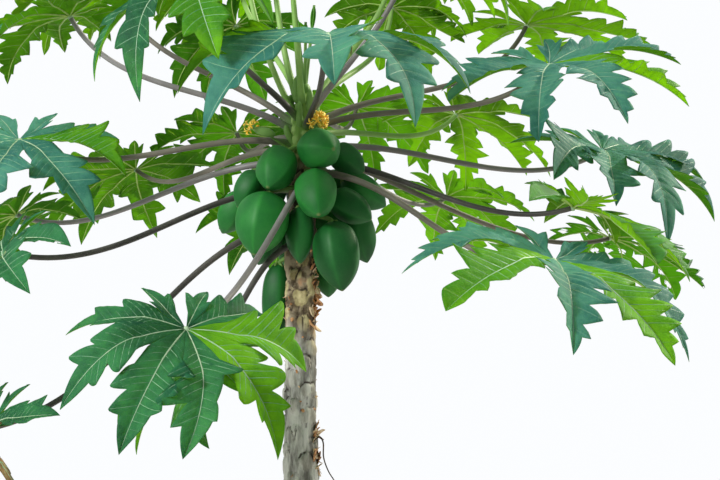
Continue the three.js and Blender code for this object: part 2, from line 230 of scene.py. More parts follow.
plain_tube = tube([(0, 0, 0), (0, 0, 1)], 1.0)
print("a plain tube of two rings has points and triangles:", len(plain_tube[0]), len(plain_tube[1]))

# %% [markdown]
# ## Writing a finish as sums
# A finish in Blender is a graph of nodes. Written out by hand it hides the thought behind it, so one
# small class lets a socket be added, subtracted and multiplied like a number, and makes the node for
# each step. Colours go through a colour mix instead, since the arithmetic node would turn them grey.

# %% Sockets with operators
class Wire:
    """One output of a node. Arithmetic on it adds the node for that step and hands back its output."""

    def __init__(self, finish, socket):
        self.finish, self.socket = finish, socket

    def math(self, operation, *values):
        inputs = dict(enumerate(values))
        return self.finish.node("ShaderNodeMath", {"operation": operation}, inputs)

    def __add__(self, other):
        return self.math("ADD", self, other)

    def __sub__(self, other):
        return self.math("SUBTRACT", self, other)

    def __mul__(self, other):
        return self.math("MULTIPLY", self, other)

    __radd__ = __add__


class Finish:
    """One material, built by calls that each add a node and hand back its output."""

    def __init__(self, name, owner=None):
        self.owner = owner or bpy.data.materials.new(name)
        self.owner.use_nodes = True
        self.tree = self.owner.node_tree
        self.tree.nodes.clear()

    def node(self, kind, settings=(), inputs=(), output=0):
        made = self.tree.nodes.new(kind)
        for key, value in dict(settings).items():
            setattr(made, key, value)
        for key, value in dict(inputs).items():
            if isinstance(value, Wire):
                self.tree.links.new(value.socket, made.inputs[key])
            elif isinstance(value, tuple) and len(made.inputs[key].default_value) == 4:
                made.inputs[key].default_value = (*value, 1)
            else:
                made.inputs[key].default_value = value
        return Wire(self, made.outputs[output]) if made.outputs else None

    def place(self):
        return self.node("ShaderNodeTexCoord", output="Object")

    def parts(self, vector):
        split = self.node("ShaderNodeSeparateXYZ", inputs={0: vector})
        return [Wire(self, socket) for socket in split.socket.node.outputs]

    def marks(self):
        return self.parts(self.node("ShaderNodeUVMap", {"uv_map": "marks"}))[:2]

    def stretched(self, tall):
        return self.node("ShaderNodeMapping", inputs={"Vector": self.place(), "Scale": (1, 1, tall)})

    def noise(self, scale, detail=4.0, roughness=0.55, at=None):
        inputs = {"Vector": at or self.place(), "Scale": scale, "Detail": detail, "Roughness": roughness}
        return self.node("ShaderNodeTexNoise", inputs=inputs)

    def cells(self, scale, feature="DISTANCE_TO_EDGE"):
        inputs = {"Vector": self.place(), "Scale": scale}
        return self.node("ShaderNodeTexVoronoi", {"feature": feature}, inputs)

    def clamp(self, value, low, high, to_low=0.0, to_high=1.0):
        inputs = {0: value, 1: low, 2: high, 3: to_low, 4: to_high}
        return self.node("ShaderNodeMapRange", {"interpolation_type": "SMOOTHSTEP"}, inputs)

    def mix(self, one, other, share):
        inputs = {0: share, 6: one, 7: other}
        return self.node("ShaderNodeMix", {"data_type": "RGBA"}, inputs, 2)

    def bump(self, height, strength, distance):
        inputs = {"Height": height, "Strength": strength, "Distance": distance}
        return self.node("ShaderNodeBump", inputs=inputs)

    def solid(self, **inputs):
        named = {key.replace("_", " "): value for key, value in inputs.items()}
        return self.node("ShaderNodeBsdfPrincipled", inputs=named)

    def show(self, shader, kind="ShaderNodeOutputMaterial"):
        self.node(kind, inputs={"Surface": shader})
        return self.owner


def two_tone(name, low, high, rough, patches, spread, grain, strength, depth):
    """A finish that drifts between two colours in patches, with a fine grain of its own."""
    f = Finish(name)
    drift = f.clamp(f.noise(*patches), 0.5 - spread, 0.5 + spread)
    return f.show(f.solid(Base_Color=f.mix(low, high, drift), Roughness=rough,
                          Normal=f.bump(f.noise(*grain), strength, depth)))


# %% [markdown]
# ## Leaf finishes
# A papaya leaf is two leaves to the eye: a waxy blue-green upper face and a matt yellow-green lower one
# that glows where the sun comes through. The blade below is a thin closed solid, so each face can have
# a finish of its own, and a share of each lets light through. The tints differ from leaf to leaf, and
# on some lobes the upper face takes painted sunlight: a brighter finish that paints the low sun shining
# through, as plain colours. Within a leaf they drift slowly and pale towards the veins.

# %% Leaf blade
def leaf_finish(name, dark, light, glow, share, rough, vein):
    f = Finish(name)
    phase, _ = f.marks()
    drift = f.clamp(f.noise(5, 3) + (f.noise(34, 3) - 0.5) * 0.4, 0.36, 0.66)
    near_vein = f.clamp(phase, 0.0, 0.2, 1, 0)
    net = f.clamp(f.cells(130), 0.0, 0.09, 1, 0)
    colour = f.mix(f.mix(dark, light, drift), vein, near_vein * 0.3 + net * 0.2)
    height = f.noise(320, 2) * 0.3 - net * 0.6 - near_vein * 0.6
    face = f.solid(
        Base_Color=colour, Roughness=rough + f.noise(14, 2) * 0.24, Specular_IOR_Level=0.17,
        Normal=f.bump(height, 0.5, 0.0014))
    through = f.node("ShaderNodeBsdfTranslucent", inputs={"Color": glow})
    passes = drift * 0.14 - near_vein * 0.06 + share
    return f.show(f.node("ShaderNodeMixShader", inputs={0: passes, 1: face, 2: through}))


UPPER = [
    leaf_finish("leaf_upper_deep", (0.005, 0.062, 0.034), (0.03, 0.19, 0.085), (0.22, 0.52, 0.08), 0.32, 0.48,
                (0.1, 0.3, 0.16)),
    leaf_finish("leaf_upper_blue", (0.02, 0.13, 0.115), (0.08, 0.28, 0.235), (0.26, 0.54, 0.14), 0.28, 0.54,
                (0.12, 0.32, 0.26)),
    leaf_finish("leaf_upper_mid", (0.009, 0.1, 0.028), (0.045, 0.24, 0.06), (0.44, 0.72, 0.05), 0.4, 0.46,
                (0.12, 0.34, 0.11)),
]
UNDER = [
    leaf_finish("leaf_under_bright", (0.05, 0.19, 0.005), (0.15, 0.36, 0.012), (0.46, 0.76, 0.02), 0.5, 0.62,
                (0.34, 0.55, 0.06)),
    leaf_finish("leaf_under_green", (0.022, 0.12, 0.007), (0.075, 0.25, 0.014), (0.38, 0.7, 0.02), 0.46, 0.62,
                (0.2, 0.42, 0.05)),
]
# Painted sunlight: a brighter yellow-green upper face, painted as if the low sun shone through the lobe.
PAINTED_SUN = leaf_finish("leaf_sunlit", (0.03, 0.2, 0.012), (0.13, 0.38, 0.015), (0.5, 0.8, 0.02), 0.46, 0.5,
                     (0.36, 0.58, 0.08))
YOUNG_UPPER = leaf_finish("young_upper", (0.07, 0.3, 0.03), (0.13, 0.4, 0.04), (0.4, 0.85, 0.05), 0.4, 0.45,
                          (0.24, 0.48, 0.1))
YOUNG_UNDER = leaf_finish("young_under", (0.14, 0.38, 0.03), (0.22, 0.48, 0.05), (0.5, 0.9, 0.06), 0.42, 0.55,
                          (0.3, 0.55, 0.1))

# %% Ribs, veins and withered skin
RIB_GRAIN = ((60, 3), 0.2, (400, 2), 0.25, 0.0006)
RIB_UPPER = two_tone("rib_upper", (0.26, 0.42, 0.22), (0.4, 0.52, 0.32), 0.5, *RIB_GRAIN)
VEIN_UPPER = two_tone("vein_upper", (0.13, 0.31, 0.14), (0.24, 0.42, 0.22), 0.5, *RIB_GRAIN)
RIB_UNDER = two_tone("rib_under", (0.28, 0.46, 0.06), (0.42, 0.58, 0.14), 0.5, *RIB_GRAIN)
DEAD = two_tone("leaf_dead", (0.1, 0.055, 0.02), (0.28, 0.17, 0.06), 0.8, (45, 4), 0.15, (160, 3), 0.6, 0.002)

# %% Stalks
STALK_FOOT_GREEN, STALK_SPECKS, STALK_LINES = (0.13, 0.27, 0.055), (0.42, 0.4, 0.34), 9


def stalk_finish(name, low, high, rough):
    f = Finish(name)
    drift = f.clamp(f.noise(5, 4), 0.32, 0.68)
    lines = f.noise(18, 3, at=f.stretched(STALK_LINES))
    specks = f.clamp(f.cells(150, "F1"), 0.05, 0.16, 1, 0)
    foot = f.clamp(f.marks()[0] + (f.noise(25, 3) - 0.5) * 0.05, 0.02, 0.1, 1, 0)
    colour = f.mix(f.mix(low, high, drift), STALK_SPECKS, specks * 0.35)
    colour = f.mix(colour, STALK_FOOT_GREEN, foot * 0.75)
    return f.show(f.solid(Base_Color=colour, Roughness=rough + lines * 0.2, Specular_IOR_Level=0.4,
                          Normal=f.bump(lines * 0.6 + specks * 0.5, 0.35, 0.0012)))


STALKS = {
    "grey": stalk_finish("stalk_grey", (0.15, 0.14, 0.13), (0.25, 0.235, 0.235), 0.4),
    "dark": stalk_finish("stalk_dark", (0.035, 0.033, 0.03), (0.1, 0.09, 0.08), 0.36),
    "brown": stalk_finish("stalk_brown", (0.09, 0.085, 0.06), (0.17, 0.15, 0.12), 0.4),
    "green": stalk_finish("stalk_green", (0.17, 0.34, 0.06), (0.3, 0.49, 0.14), 0.42),
}
print("leaf finishes:", len(bpy.data.materials))

# %% [markdown]
# ## The leaf's plan
# Each blade is a hand of nine lobes, and each lobe is cut again into pointed teeth that lean forward.
# The side veins lean the same way, so the blade is drawn on lines that leave the rib at the veins'
# slant: a tooth is then only a longer line. Near the stalk the lines end halfway to the next lobe,
# where both lobes share their points, and further out they end at the cut edge.

# %% Driving sizes of a blade
LOBE_ANGLES = [-148, -111, -74, -37, 0, 37, 74, 111, 148]
LOBE_LENGTHS = [0.42, 0.72, 0.88, 0.98, 1.0, 0.98, 0.88, 0.72, 0.42]
LOBE_HALF_ANGLE, BACK_HALF_ANGLE = 18.5, 16
SINUS_REACH = 0.36
SLANT = math.radians(48)
ROW_STEP, COLUMNS = 0.024, 6
BLADE_THICKNESS = 0.9 * MM

# Teeth and notches on one side of a lobe, as shares of its length: along the rib, across it, is a tooth.
BROAD_EDGE = [(0.480, 0.240, 1), (0.490, 0.125, 0), (0.665, 0.250, 1), (0.668, 0.100, 0),
              (0.832, 0.155, 1), (0.815, 0.085, 0)]
COMB_EDGE = [(0.430, 0.175, 1), (0.455, 0.105, 0), (0.600, 0.215, 1), (0.605, 0.105, 0),
             (0.745, 0.190, 1), (0.740, 0.082, 0), (0.862, 0.125, 1), (0.850, 0.055, 0),
             (0.940, 0.068, 1), (0.925, 0.032, 0)]
MIDDLE_EDGE = [(0.56, 0.21, 1), (0.55, 0.115, 0), (0.79, 0.165, 1), (0.765, 0.085, 0)]
SHORT_EDGE = [(0.62, 0.20, 1), (0.60, 0.11, 0)]
LONG_LOBE, MIDDLE_LOBE = 0.8, 0.5
print("lobes:", len(LOBE_ANGLES), "teeth on a broad lobe's side:", len(BROAD_EDGE) // 2)

# %% Cut an edge
BROAD_FALL, COMB_FALL, TIP_FALL = 1.8, 1.15, 1.55
TOOTH_RISE, FLANK_STEPS = 0.55, 8
UNEVEN_WIDTH, UNEVEN_PLACE, CLOSEST_CORNERS = 0.13, 0.008, 0.008


def slanted(along, across):
    """The rib station that a place is reached from along the veins' slant, and the way out to it."""
    return along - across / math.tan(SLANT), across / math.sin(SLANT)


def edge_keys(share, start, long_edge):
    """Corner points of one side's edge as (station, way out, is a tooth), from the sinus to the tip."""
    table = long_edge if share > LONG_LOBE else MIDDLE_EDGE if share > MIDDLE_LOBE else SHORT_EDGE
    keys = [start]
    for along, across, tooth in table:
        along = along + chance.normal(0, UNEVEN_PLACE)
        station, out = slanted(along, across * (1 + chance.normal(0, UNEVEN_WIDTH)))
        if station > keys[-1][0] + CLOSEST_CORNERS:
            keys.append((station, out, tooth))
    return keys + [(1.0, 0.0, 1)]


def edge_curve(keys, stations, fall):
    """The way out from the rib to the edge at each station: bellied up to a tooth, full down from it."""
    places, outs = [], []
    for (s0, w0, _), (s1, w1, _) in zip(keys, keys[1:]):
        x = np.arange(FLANK_STEPS) / FLANK_STEPS
        power = TIP_FALL if s1 == 1.0 else TOOTH_RISE if w1 > w0 else fall
        places.extend(s0 + (s1 - s0) * x)
        outs.extend(w0 + (w1 - w0) * x ** power)
    return np.interp(stations, places + [1.0], outs + [0.0])


# %% Lay out one lobe's rows
def row_stations(first, keys, length, step):
    """Stations along a rib: the shared rows near the hub, then even ones that meet every corner."""
    corners = {key[0] * length for hand in keys for key in keys[hand]}
    corners = sorted({first[-1], length, *(place for place in corners if place > first[-1] + step / 4)})
    stations = list(first)
    for low, high in zip(corners, corners[1:]):
        parts = max(1, math.ceil((high - low) / step))
        stations.extend(low + (high - low) * (part + 1) / parts for part in range(parts))
    return np.array(stations)


def lobe_rows(leaf, index):
    """Stations along one lobe's rib with the way out to the edge on both sides, all in metres."""
    share, radius = LOBE_LENGTHS[index], leaf["radius"]
    length, step = share * radius, ROW_STEP * radius
    halves, web, keys, outs = {}, {}, {}, {}
    for hand in (-1, 1):
        other = index + hand
        known = 0 <= other < len(LOBE_ANGLES)
        half = math.radians(abs(LOBE_ANGLES[other] - LOBE_ANGLES[index]) / 2 if known else BACK_HALF_ANGLE)
        shorter = min(share, LOBE_LENGTHS[other]) if known else share
        ratio = math.sin(SLANT - half) / math.sin(SLANT)
        web[hand] = round(SINUS_REACH * shorter * ratio / ROW_STEP)
        halves[hand] = math.sin(half) / math.sin(SLANT - half)
        way = web[hand] * step * halves[hand]
        keys[hand] = edge_keys(share, (web[hand] * step / length, way / length, 0), leaf["edge"])
    stations = row_stations(np.arange(max(web.values()) + 1) * step, keys, length, step)
    for hand in (-1, 1):
        cut = edge_curve(keys[hand], stations / length, leaf["fall"]) * length
        outs[hand] = np.where(np.arange(len(stations)) <= web[hand], stations * halves[hand], cut)
    return stations, outs, keys


# %% [markdown]
# ## From plan to space
# The plan is flat, and the leaf is not. Every point goes out from the hub along an arc that starts a
# little upward and bends down more and more, so that the tips hang. The halves of a lobe fold up from
# the rib, and the skin between the side veins swells like a quilt. Past the sinus each lobe also
# swings, twists and waves by itself, which is what keeps one leaf from looking like the next. A lobe
# that has withered shrinks, folds up and hangs.

# %% Let each lobe go its own way
LAYER, LOOSE_PAST = 0.03, 1.02
SWING, TWIST, LIFT = 0.18, 0.55, 0.2
FOLDS, WAVES, WAVE_STARTS, WAVE_RATES = (0.1, 1.2), (0.01, 0.03), (0, 6.3), (14, 22)
WITHERED = {"fold": 1.6, "lift": -1.5, "twist": 2.0, "wave": 0.07, "wither": 0.6}


def loose_lobe(index, withered):
    """How one lobe swings, twists, folds and waves past the sinus, all drawn anew for every lobe."""
    lobe = {
        "angle": LOBE_ANGLES[index], "loose_from": SINUS_REACH * LOBE_LENGTHS[index] * LOOSE_PAST,
        "swing": chance.normal(0, SWING), "twist": chance.normal(0, TWIST), "lift": chance.normal(0, LIFT),
        "fold": chance.uniform(*FOLDS), "layer": LAYER * (-1) ** index, "wither": 0,
        "wave": chance.uniform(*WAVES), "wave_from": chance.uniform(*WAVE_STARTS),
        "wave_rate": chance.uniform(*WAVE_RATES),
    }
    return {**lobe, **WITHERED} if withered else lobe


# %% Bend a blade
HUB_LIFT, DROOP_POWER, BEND_STEPS = 12, 1.2, 6
RIB_FOLD, FOLD_EASE = 0.3, 1.2
LAYER_RISE, WITHER_RISE = 12, 3


def blade_axes(heading, pitch, roll):
    out, level = direction(heading, -pitch), direction(heading + 90)
    top = np.cross(out, level)
    cos, sin = math.cos(math.radians(roll)), math.sin(math.radians(roll))
    return out, level * cos + top * sin, top * cos - level * sin


def arc(leaf, reach, offset):
    """How far out and how high the drooping arc is after a reach, at an offset to its upper side."""
    bend_at = lambda share: np.radians(
        HUB_LIFT - leaf["droop"] * (share * reach / leaf["radius"]) ** DROOP_POWER)
    flat, rise = -offset * np.sin(bend_at(1)), offset * np.cos(bend_at(1))
    for step in range(BEND_STEPS):
        bend = bend_at((step + 0.5) / BEND_STEPS)
        flat = flat + np.cos(bend) * reach / BEND_STEPS
        rise = rise + np.sin(bend) * reach / BEND_STEPS
    return flat, rise


def on_blade(leaf, lobe, along, across, offset=0.0):
    radius, reach = leaf["radius"], np.hypot(along, across)
    free = np.maximum(reach / radius - lobe["loose_from"], 0)
    wither = lobe["wither"] * np.minimum(free * WITHER_RISE, 1)
    reach, across = reach * (1 - wither / 2), across * (1 - wither)
    bearing = np.radians(lobe["angle"]) + np.arctan2(across, along) + lobe["swing"] * free
    flat, rise = arc(leaf, reach, offset)
    room = np.maximum(reach * math.sin(math.radians(LOBE_HALF_ANGLE)), 1e-9)
    spread = np.minimum(np.abs(across) / room, 1)
    rise = rise + RIB_FOLD * room * (spread - spread ** 3 / 3) * FOLD_EASE
    rise = rise + lobe["twist"] * across * free + lobe["fold"] * np.abs(across) * free
    rise = rise + radius * (lobe["lift"] * free ** 2 + lobe["layer"] * (1 - np.exp(-LAYER_RISE * free)))
    wave = np.sin(lobe["wave_from"] + along / radius * lobe["wave_rate"])
    rise = rise + lobe["wave"] * free * spread ** 2 * wave
    out, side, up = leaf["axes"]
    return (leaf["hub"] + out * (flat * np.cos(bearing))[..., None]
            + side * (flat * np.sin(bearing))[..., None] + up * rise[..., None])


tip_reach, tip_rise = arc({"radius": 0.35, "droop": 60}, 0.35, 0.0)
print("a blade of 350 mm reaches and drops, mm:", round(tip_reach / MM), round(-tip_rise / MM))

# %% [markdown]
# ## Veins and skin
# The ribs stand out pale on top and thick below, so they are real tubes that straddle the blade. Each
# is a diamond in section: its two upper sides take the pale finish and its two lower sides the yellow
# one. A side vein runs out to each tooth, and finer ones lie evenly between those. The skin is made in
# strips, one to each side of a rib, as two faces that share a rim.

# %% Veins
UPPER_KIND, UNDER_KIND, RIB_TOP, RIB_LOW, VEIN_TOP, STALK_KIND, DEAD_KIND, PAINTED_SUN_KIND = range(8)
RIB_ROOT, RIB_TIP, RIB_STEPS, RIB_END, RIB_TAPER = 3.3 * MM, 0.55 * MM, 20, 0.985, 0.8
VEIN_ROOT, VEIN_TIP, VEIN_STEPS, VEIN_END, FINE_VEIN = 1.0 * MM, 0.55 * MM, 5, 0.94, 0.85
VEIN_FULL_WAY, VEIN_STOUTEST, VEIN_RISE = 0.2, 1.2, 0.12 * MM
VEIN_SHORTEST, FINE_SHORTEST = 12 * MM, 21 * MM
FIRST_VEIN, LAST_VEIN, VEIN_GAP = 0.03, 0.95, 0.058
QUILT, QUILT_END = 3.0 * MM, 0.9


def quilt(ridge, t):
    """How far the skin swells at a share t of the way out. The ridge is 0 on a vein, 1 between two."""
    return ridge * np.sin(np.pi * np.clip(t, 0, QUILT_END)) * QUILT


def add_vein(pile, leaf, lobe, along, across, radii, top, lift=0.0):
    path = on_blade(leaf, lobe, along, across, VEIN_RISE)
    normal = path[0] - on_blade(leaf, lobe, along, across)[0]
    points, triangles = tube(path + pile.up * np.reshape(lift, (-1, 1)), radii, 4, 1.0, normal)
    pile.add(points, triangles, np.tile([top, RIB_LOW, RIB_LOW, top], len(triangles) // 4))


def vein_stations(keys, length):
    """Where the side veins leave the rib: those to the teeth, and those spaced evenly between them."""
    teeth = [station for station, _, tooth in keys[:-1] if tooth]
    between = []
    for low, high in zip([FIRST_VEIN] + teeth, teeth + [LAST_VEIN]):
        between.extend(np.linspace(low, high, round((high - low) / VEIN_GAP) + 1)[1:-1])
    return np.array(teeth) * length, np.array(between) * length


def add_side_veins(pile, leaf, lobe, hand, rows, main_veins, fine_veins):
    stations, out, ridge = rows
    for station in np.sort(np.concatenate([main_veins, fine_veins])):
        full, to_tooth = np.interp(station, stations, out), station in main_veins
        if full < (VEIN_SHORTEST if to_tooth else FINE_SHORTEST):
            continue
        t = np.linspace(0, VEIN_END, VEIN_STEPS)
        size = min(full / (VEIN_FULL_WAY * leaf["radius"]), VEIN_STOUTEST) * (1 if to_tooth else FINE_VEIN)
        add_vein(pile, leaf, lobe, station + t * full * math.cos(SLANT), t * full * math.sin(SLANT) * hand,
                 np.linspace(VEIN_ROOT, VEIN_TIP, VEIN_STEPS) * size, VEIN_TOP,
                 quilt(np.interp(station, stations, ridge), t))


# %% Skin in strips
def skin_strip(pile, leaf, lobe, hand, rows, apart):
    """The blade from a rib to its edge on one hand: both faces, triangles, marks and places along it."""
    stations, out, ridge = rows
    t = np.linspace(0, 1, COLUMNS)[None, :]
    way = out[:, None] * t
    along, across = stations[:, None] + way * math.cos(SLANT), way * math.sin(SLANT) * hand
    swell = pile.up * (quilt(ridge[:, None], t) * (out > 0)[:, None])[..., None]
    top, low = ((on_blade(leaf, lobe, along, across, side * BLADE_THICKNESS / 2) + swell).reshape(-1, 3)
                for side in (1, -1))
    triangles = grid_triangles(len(stations), COLUMNS, False)
    triangles = triangles if hand > 0 else triangles[:, ::-1]
    return top, low, triangles, spread_marks(apart[:, None], t), along.ravel()


def add_blade(pile, leaf):
    strips, pile.up = [], leaf["axes"][2]
    for index, share in enumerate(LOBE_LENGTHS):
        stations, outs, keys = lobe_rows(leaf, index)
        lobe, length = loose_lobe(index, index in leaf["dead"]), stations[-1]
        for hand in (-1, 1):
            veins = vein_stations(keys[hand], length)
            places = np.concatenate([[0], np.sort(np.concatenate(veins)), [length]])
            phase = np.interp(stations, places, np.arange(len(places)))
            apart = np.abs(phase - np.round(phase)) * 2
            rows = stations, outs[hand], np.sin(apart * np.pi / 2)
            strip = skin_strip(pile, leaf, lobe, hand, rows, apart)
            strips.append((*strip, np.full(len(strip[0]), index)))
            add_side_veins(pile, leaf, lobe, hand, rows, *veins)
        radii = np.linspace(1, 0, RIB_STEPS) ** RIB_TAPER * (RIB_ROOT - RIB_TIP) * math.sqrt(share) + RIB_TIP
        along = np.linspace(0, length * RIB_END, RIB_STEPS)
        add_vein(pile, leaf, lobe, along, np.zeros_like(along), radii, RIB_TOP)
    join_strips(pile, leaf, strips)


# %% Weld the strips into one closed blade
WELD_STEPS_IN_A_METRE = 2e4
HOLE_RADII = 6 * MM, 16 * MM
DEAD_FROM = 0.3


def pierced(triangles, points, holes):
    centres = points[chance.choice(len(points), holes, replace=False)]
    radii = chance.uniform(*HOLE_RADII, holes)
    middle = points[triangles].mean(axis=1)
    return triangles[~(np.linalg.norm(middle[:, None] - centres[None], axis=-1) < radii).any(axis=1)]


def rim_walls(triangles, count):
    """Walls along the open edges of a face, down to its copy, whose points come count places later."""
    edges = np.concatenate([triangles[:, [0, 1]], triangles[:, [1, 2]], triangles[:, [2, 0]]])
    rim = edges[~np.isin(edges[:, 0] * count + edges[:, 1], edges[:, 1] * count + edges[:, 0])]
    return np.concatenate([np.stack([rim[:, 1], rim[:, 0], rim[:, 0] + count], -1),
                           np.stack([rim[:, 1], rim[:, 0] + count, rim[:, 1] + count], -1)])


def join_strips(pile, leaf, strips):
    starts = np.cumsum([0] + [len(strip[0]) for strip in strips])
    triangles = np.concatenate([strip[2] + start for strip, start in zip(strips, starts)])
    top, low, _, marks, along, lobes = (np.concatenate(column) for column in zip(*strips))
    _, first, again = np.unique(
        np.round(top * WELD_STEPS_IN_A_METRE), axis=0, return_index=True, return_inverse=True)
    triangles = again.ravel()[triangles]
    top, low, marks, along, lobes = (values[first] for values in (top, low, marks, along, lobes))
    triangles = triangles[(np.diff(np.sort(triangles, axis=1), axis=1) > 0).all(axis=1)]
    if leaf["holes"]:
        triangles = pierced(triangles, top, leaf["holes"])
    on_lobe, place = lobes[triangles[:, 0]], along[triangles].mean(axis=1)
    upper, under = np.full(len(triangles), UPPER_KIND), np.full(len(triangles), UNDER_KIND)
    # Lobes listed for painted sunlight take the brighter upper finish.
    upper[np.isin(on_lobe, leaf["painted_sun"])] = PAINTED_SUN_KIND
    dead_from = np.array(LOBE_LENGTHS)[on_lobe] * leaf["radius"] * DEAD_FROM
    dead = np.isin(on_lobe, leaf["dead"]) & (place > dead_from)
    upper[dead] = under[dead] = DEAD_KIND
    walls = rim_walls(triangles, len(top))
    faces = np.concatenate([triangles, triangles[:, ::-1] + len(top), walls])
    kinds = np.concatenate([upper, under, np.full(len(walls), UNDER_KIND)])
    pile.add(np.concatenate([top, low]), faces, kinds, np.concatenate([marks, marks]))


# %% [markdown]
# ## Leaf stalks
# A stalk leaves the trunk on a swollen foot, runs out nearly straight and turns up under the blade. It
# follows the same curve as its solid. The foot spreads a little against the bark, and where stalk and
# ribs meet there is a pale knuckle.

# %% Grow a stalk
NECK_RADIUS = 34 * MM
STALK_FOOT_RADIUS, STALK_RADIUS, STALK_END_RADIUS = 12 * MM, 8.5 * MM, 6.5 * MM
STALK_SWELL, STALK_FIT, STALK_STEPS, STALK_SIDES = 0.08, 0.98, 40, 14
STALK_RISE, STALK_UPTURN, STALK_EASE, STALK_STEEPEST, STALK_PULL = 12, 30, 0.25, 80, 0.36
KNUCKLE_PLACES, KNUCKLE_SHARES, KNUCKLE_SIDES = np.array([[-6], [0], [4]]) * MM, [1.05, 1.25, 0.6], 12


def add_stalk(pile, azimuth, reach, height, foot_azimuth, foot):
    start, end = polar(foot_azimuth, NECK_RADIUS / 2, foot), polar(azimuth, reach, height)
    pull = np.linalg.norm(end - start) * STALK_PULL
    slope = math.degrees(math.atan2(height - foot, reach))
    leave = direction(foot_azimuth, min(slope * (1 - STALK_EASE) + STALK_RISE, STALK_STEEPEST))
    arrive = direction(azimuth, min(slope * (1 + STALK_EASE) + STALK_UPTURN, STALK_STEEPEST))
    path = bezier(start, start + leave * pull, end - arrive * pull, end, STALK_STEPS)
    share = np.linspace(0, 1, STALK_STEPS)
    radii = STALK_RADIUS + (STALK_END_RADIUS - STALK_RADIUS) * share
    radii = radii + (STALK_FOOT_RADIUS - STALK_RADIUS) * np.exp(-share / STALK_SWELL)
    points, triangles = tube(path, radii * STALK_FIT, STALK_SIDES)
    marks = np.zeros((len(points), 2))
    marks[:-2, 0] = np.repeat(share, STALK_SIDES)
    pile.add(points, triangles, STALK_KIND, marks)
    radii = STALK_END_RADIUS * np.array(KNUCKLE_SHARES)
    pile.add(*tube(end + arrive * KNUCKLE_PLACES, radii, KNUCKLE_SIDES), RIB_TOP)


# %% [markdown]
# ## The crown
# Each row below is one leaf: where its stalk ends, where it leaves the trunk, and how the blade sits.
# They are the same rows as the solids' own, with a tint for each face and a colour for the stalk added
# from what the photograph shows. Some blades have broad teeth, and others are cut like a comb. A few
# have holes or a withered lobe, and a few have single lobes with painted sunlight on their upper face.

# %% The leaves' rows
# Leaf: name, azimuth, reach, height, foot's azimuth, foot, radius, turn, nose, roll, droop, tints, stalk.
LEAVES = [
    ("front_low", -110, 640, 1437, -94, 1800, 350, 46, 38, 0, 68, 0, 0, "grey"),
    ("front_low_inner", -124, 420, 1372, -135, 1650, 270, -10, 45, 0, 60, 2, 1, "dark"),
    ("front_top", -81, 456, 2085, -75, 1945, 445, -5, 8, 0, 90, 1, 0, "dark"),
    ("front_right", -41, 762, 1585, -30, 1832, 400, -52, 16, -15, 52, 1, 0, "brown"),
    ("front_left_bottom", -143, 834, 1219, -163, 1705, 330, 0, 45, 0, 60, 0, 1, "dark"),
    ("front_left_top", -116, 500, 2220, -126, 1968, 365, -8, 24, 0, 88, 0, 0, "dark"),
    ("left_front", -149, 775, 1609, 170, 1790, 340, 0, 42, 0, 60, 0, 1, "dark"),
    ("left_front_top", -172, 600, 2225, -160, 1935, 340, 0, 16, 0, 58, 0, 0, "grey"),
    ("left", -170, 720, 1900, -172, 1905, 365, 82, 26, 0, 62, 1, 0, "brown"),
    ("left_rear", 164, 845, 1738, 170, 1856, 325, 0, 30, 0, 60, 0, 1, "grey"),
    ("left_rear_low", 137, 720, 1892, 143, 1888, 350, 0, 28, 0, 58, 2, 1, "brown"),
    ("left_rear_top", 151, 650, 2440, 145, 1950, 350, 0, 16, 0, 58, 2, 0, "brown"),
    ("right", 9, 817, 1905, 18, 1893, 372, -64, 24, 0, 54, 1, 1, "grey"),
    ("right_front", -14, 640, 2085, -12, 1945, 385, -52, 20, 14, 44, 1, 0, "brown"),
    ("right_front_low", -17, 700, 1725, 24, 1864, 345, 0, 24, 0, 54, 2, 0, "dark"),
    ("right_rear_top", 29, 725, 2300, 30, 1955, 390, 0, 8, 0, 50, 2, 0, "brown"),
    ("right_rear", 38, 540, 2035, 45, 1925, 340, 0, 22, 0, 60, 2, 0, "green"),
    ("right_rear_low", 23, 950, 1680, 52, 1878, 330, 0, 26, 0, 58, 0, 1, "brown"),
    ("top_right", -15, 285, 2395, -15, 1985, 355, 4, 14, 0, 82, 2, 0, "grey"),
    ("rear_left", 111, 660, 2020, 122, 1915, 340, 0, 26, 0, 60, 1, 1, "brown"),
    ("rear_low", 97, 800, 1800, 98, 1872, 350, 0, 30, 0, 60, 0, 1, "brown"),
    ("rear_right_low", 60, 850, 1830, 74, 1900, 360, 0, 28, 0, 60, 2, 1, "grey"),
    ("rear", 78, 660, 2105, 74, 1960, 365, 0, 24, 0, 60, 0, 0, "brown"),
    ("rear_right_top", 52, 410, 2495, 62, 1985, 325, 4, 20, 0, 68, 2, 0, "green"),
    ("rear_top", 123, 400, 2490, 108, 1998, 345, 0, 32, 0, 72, 2, 0, "green"),
    ("rear_high", 121, 415, 2300, 101, 1932, 300, 0, 30, 0, 70, 0, 1, "green"),
    ("right_rear_high", 55, 420, 2350, 33, 2013, 280, 6, 20, 0, 68, 2, 0, "green"),
]
YOUNG_LEAVES = [
    ("young_leaf_front", -108, 110, 2440, -100, 2005, 175, 10, 5, 0, 35),
    ("young_leaf_rear", 165, 110, 2540, 160, 2022, 170, 0, 0, 0, 25),
    ("young_leaf_left", -165, 150, 2330, -172, 1968, 180, 0, 0, 0, 30),
]
BROAD_LEAVES = {
    "front_low", "front_low_inner", "front_top", "front_left_bottom", "left", "left_front",
    "front_left_top", "top_right", "right", "rear_low", "rear_high", "left_rear_low"}
HOLES = {"right_rear_low": 46, "left_front": 5, "front_left_bottom": 6}
DEAD_LOBES = {"front_left_bottom": (6,), "front_top": (8,)}
# Lobes whose upper face is painted as lit through by the low sun.
PAINTED_SUN_LOBES = {"front_low": (5, 6), "front_left_top": (5, 6), "left": (6,), "front_right": (3, 5),
                "right_front": (5,), "front_top": (2,)}
print("leaves:", len(LEAVES), "young leaves:", len(YOUNG_LEAVES), "broad ones:", len(BROAD_LEAVES))

# %% Grow the crown
VEINED = [RIB_UPPER, RIB_UNDER, VEIN_UPPER]


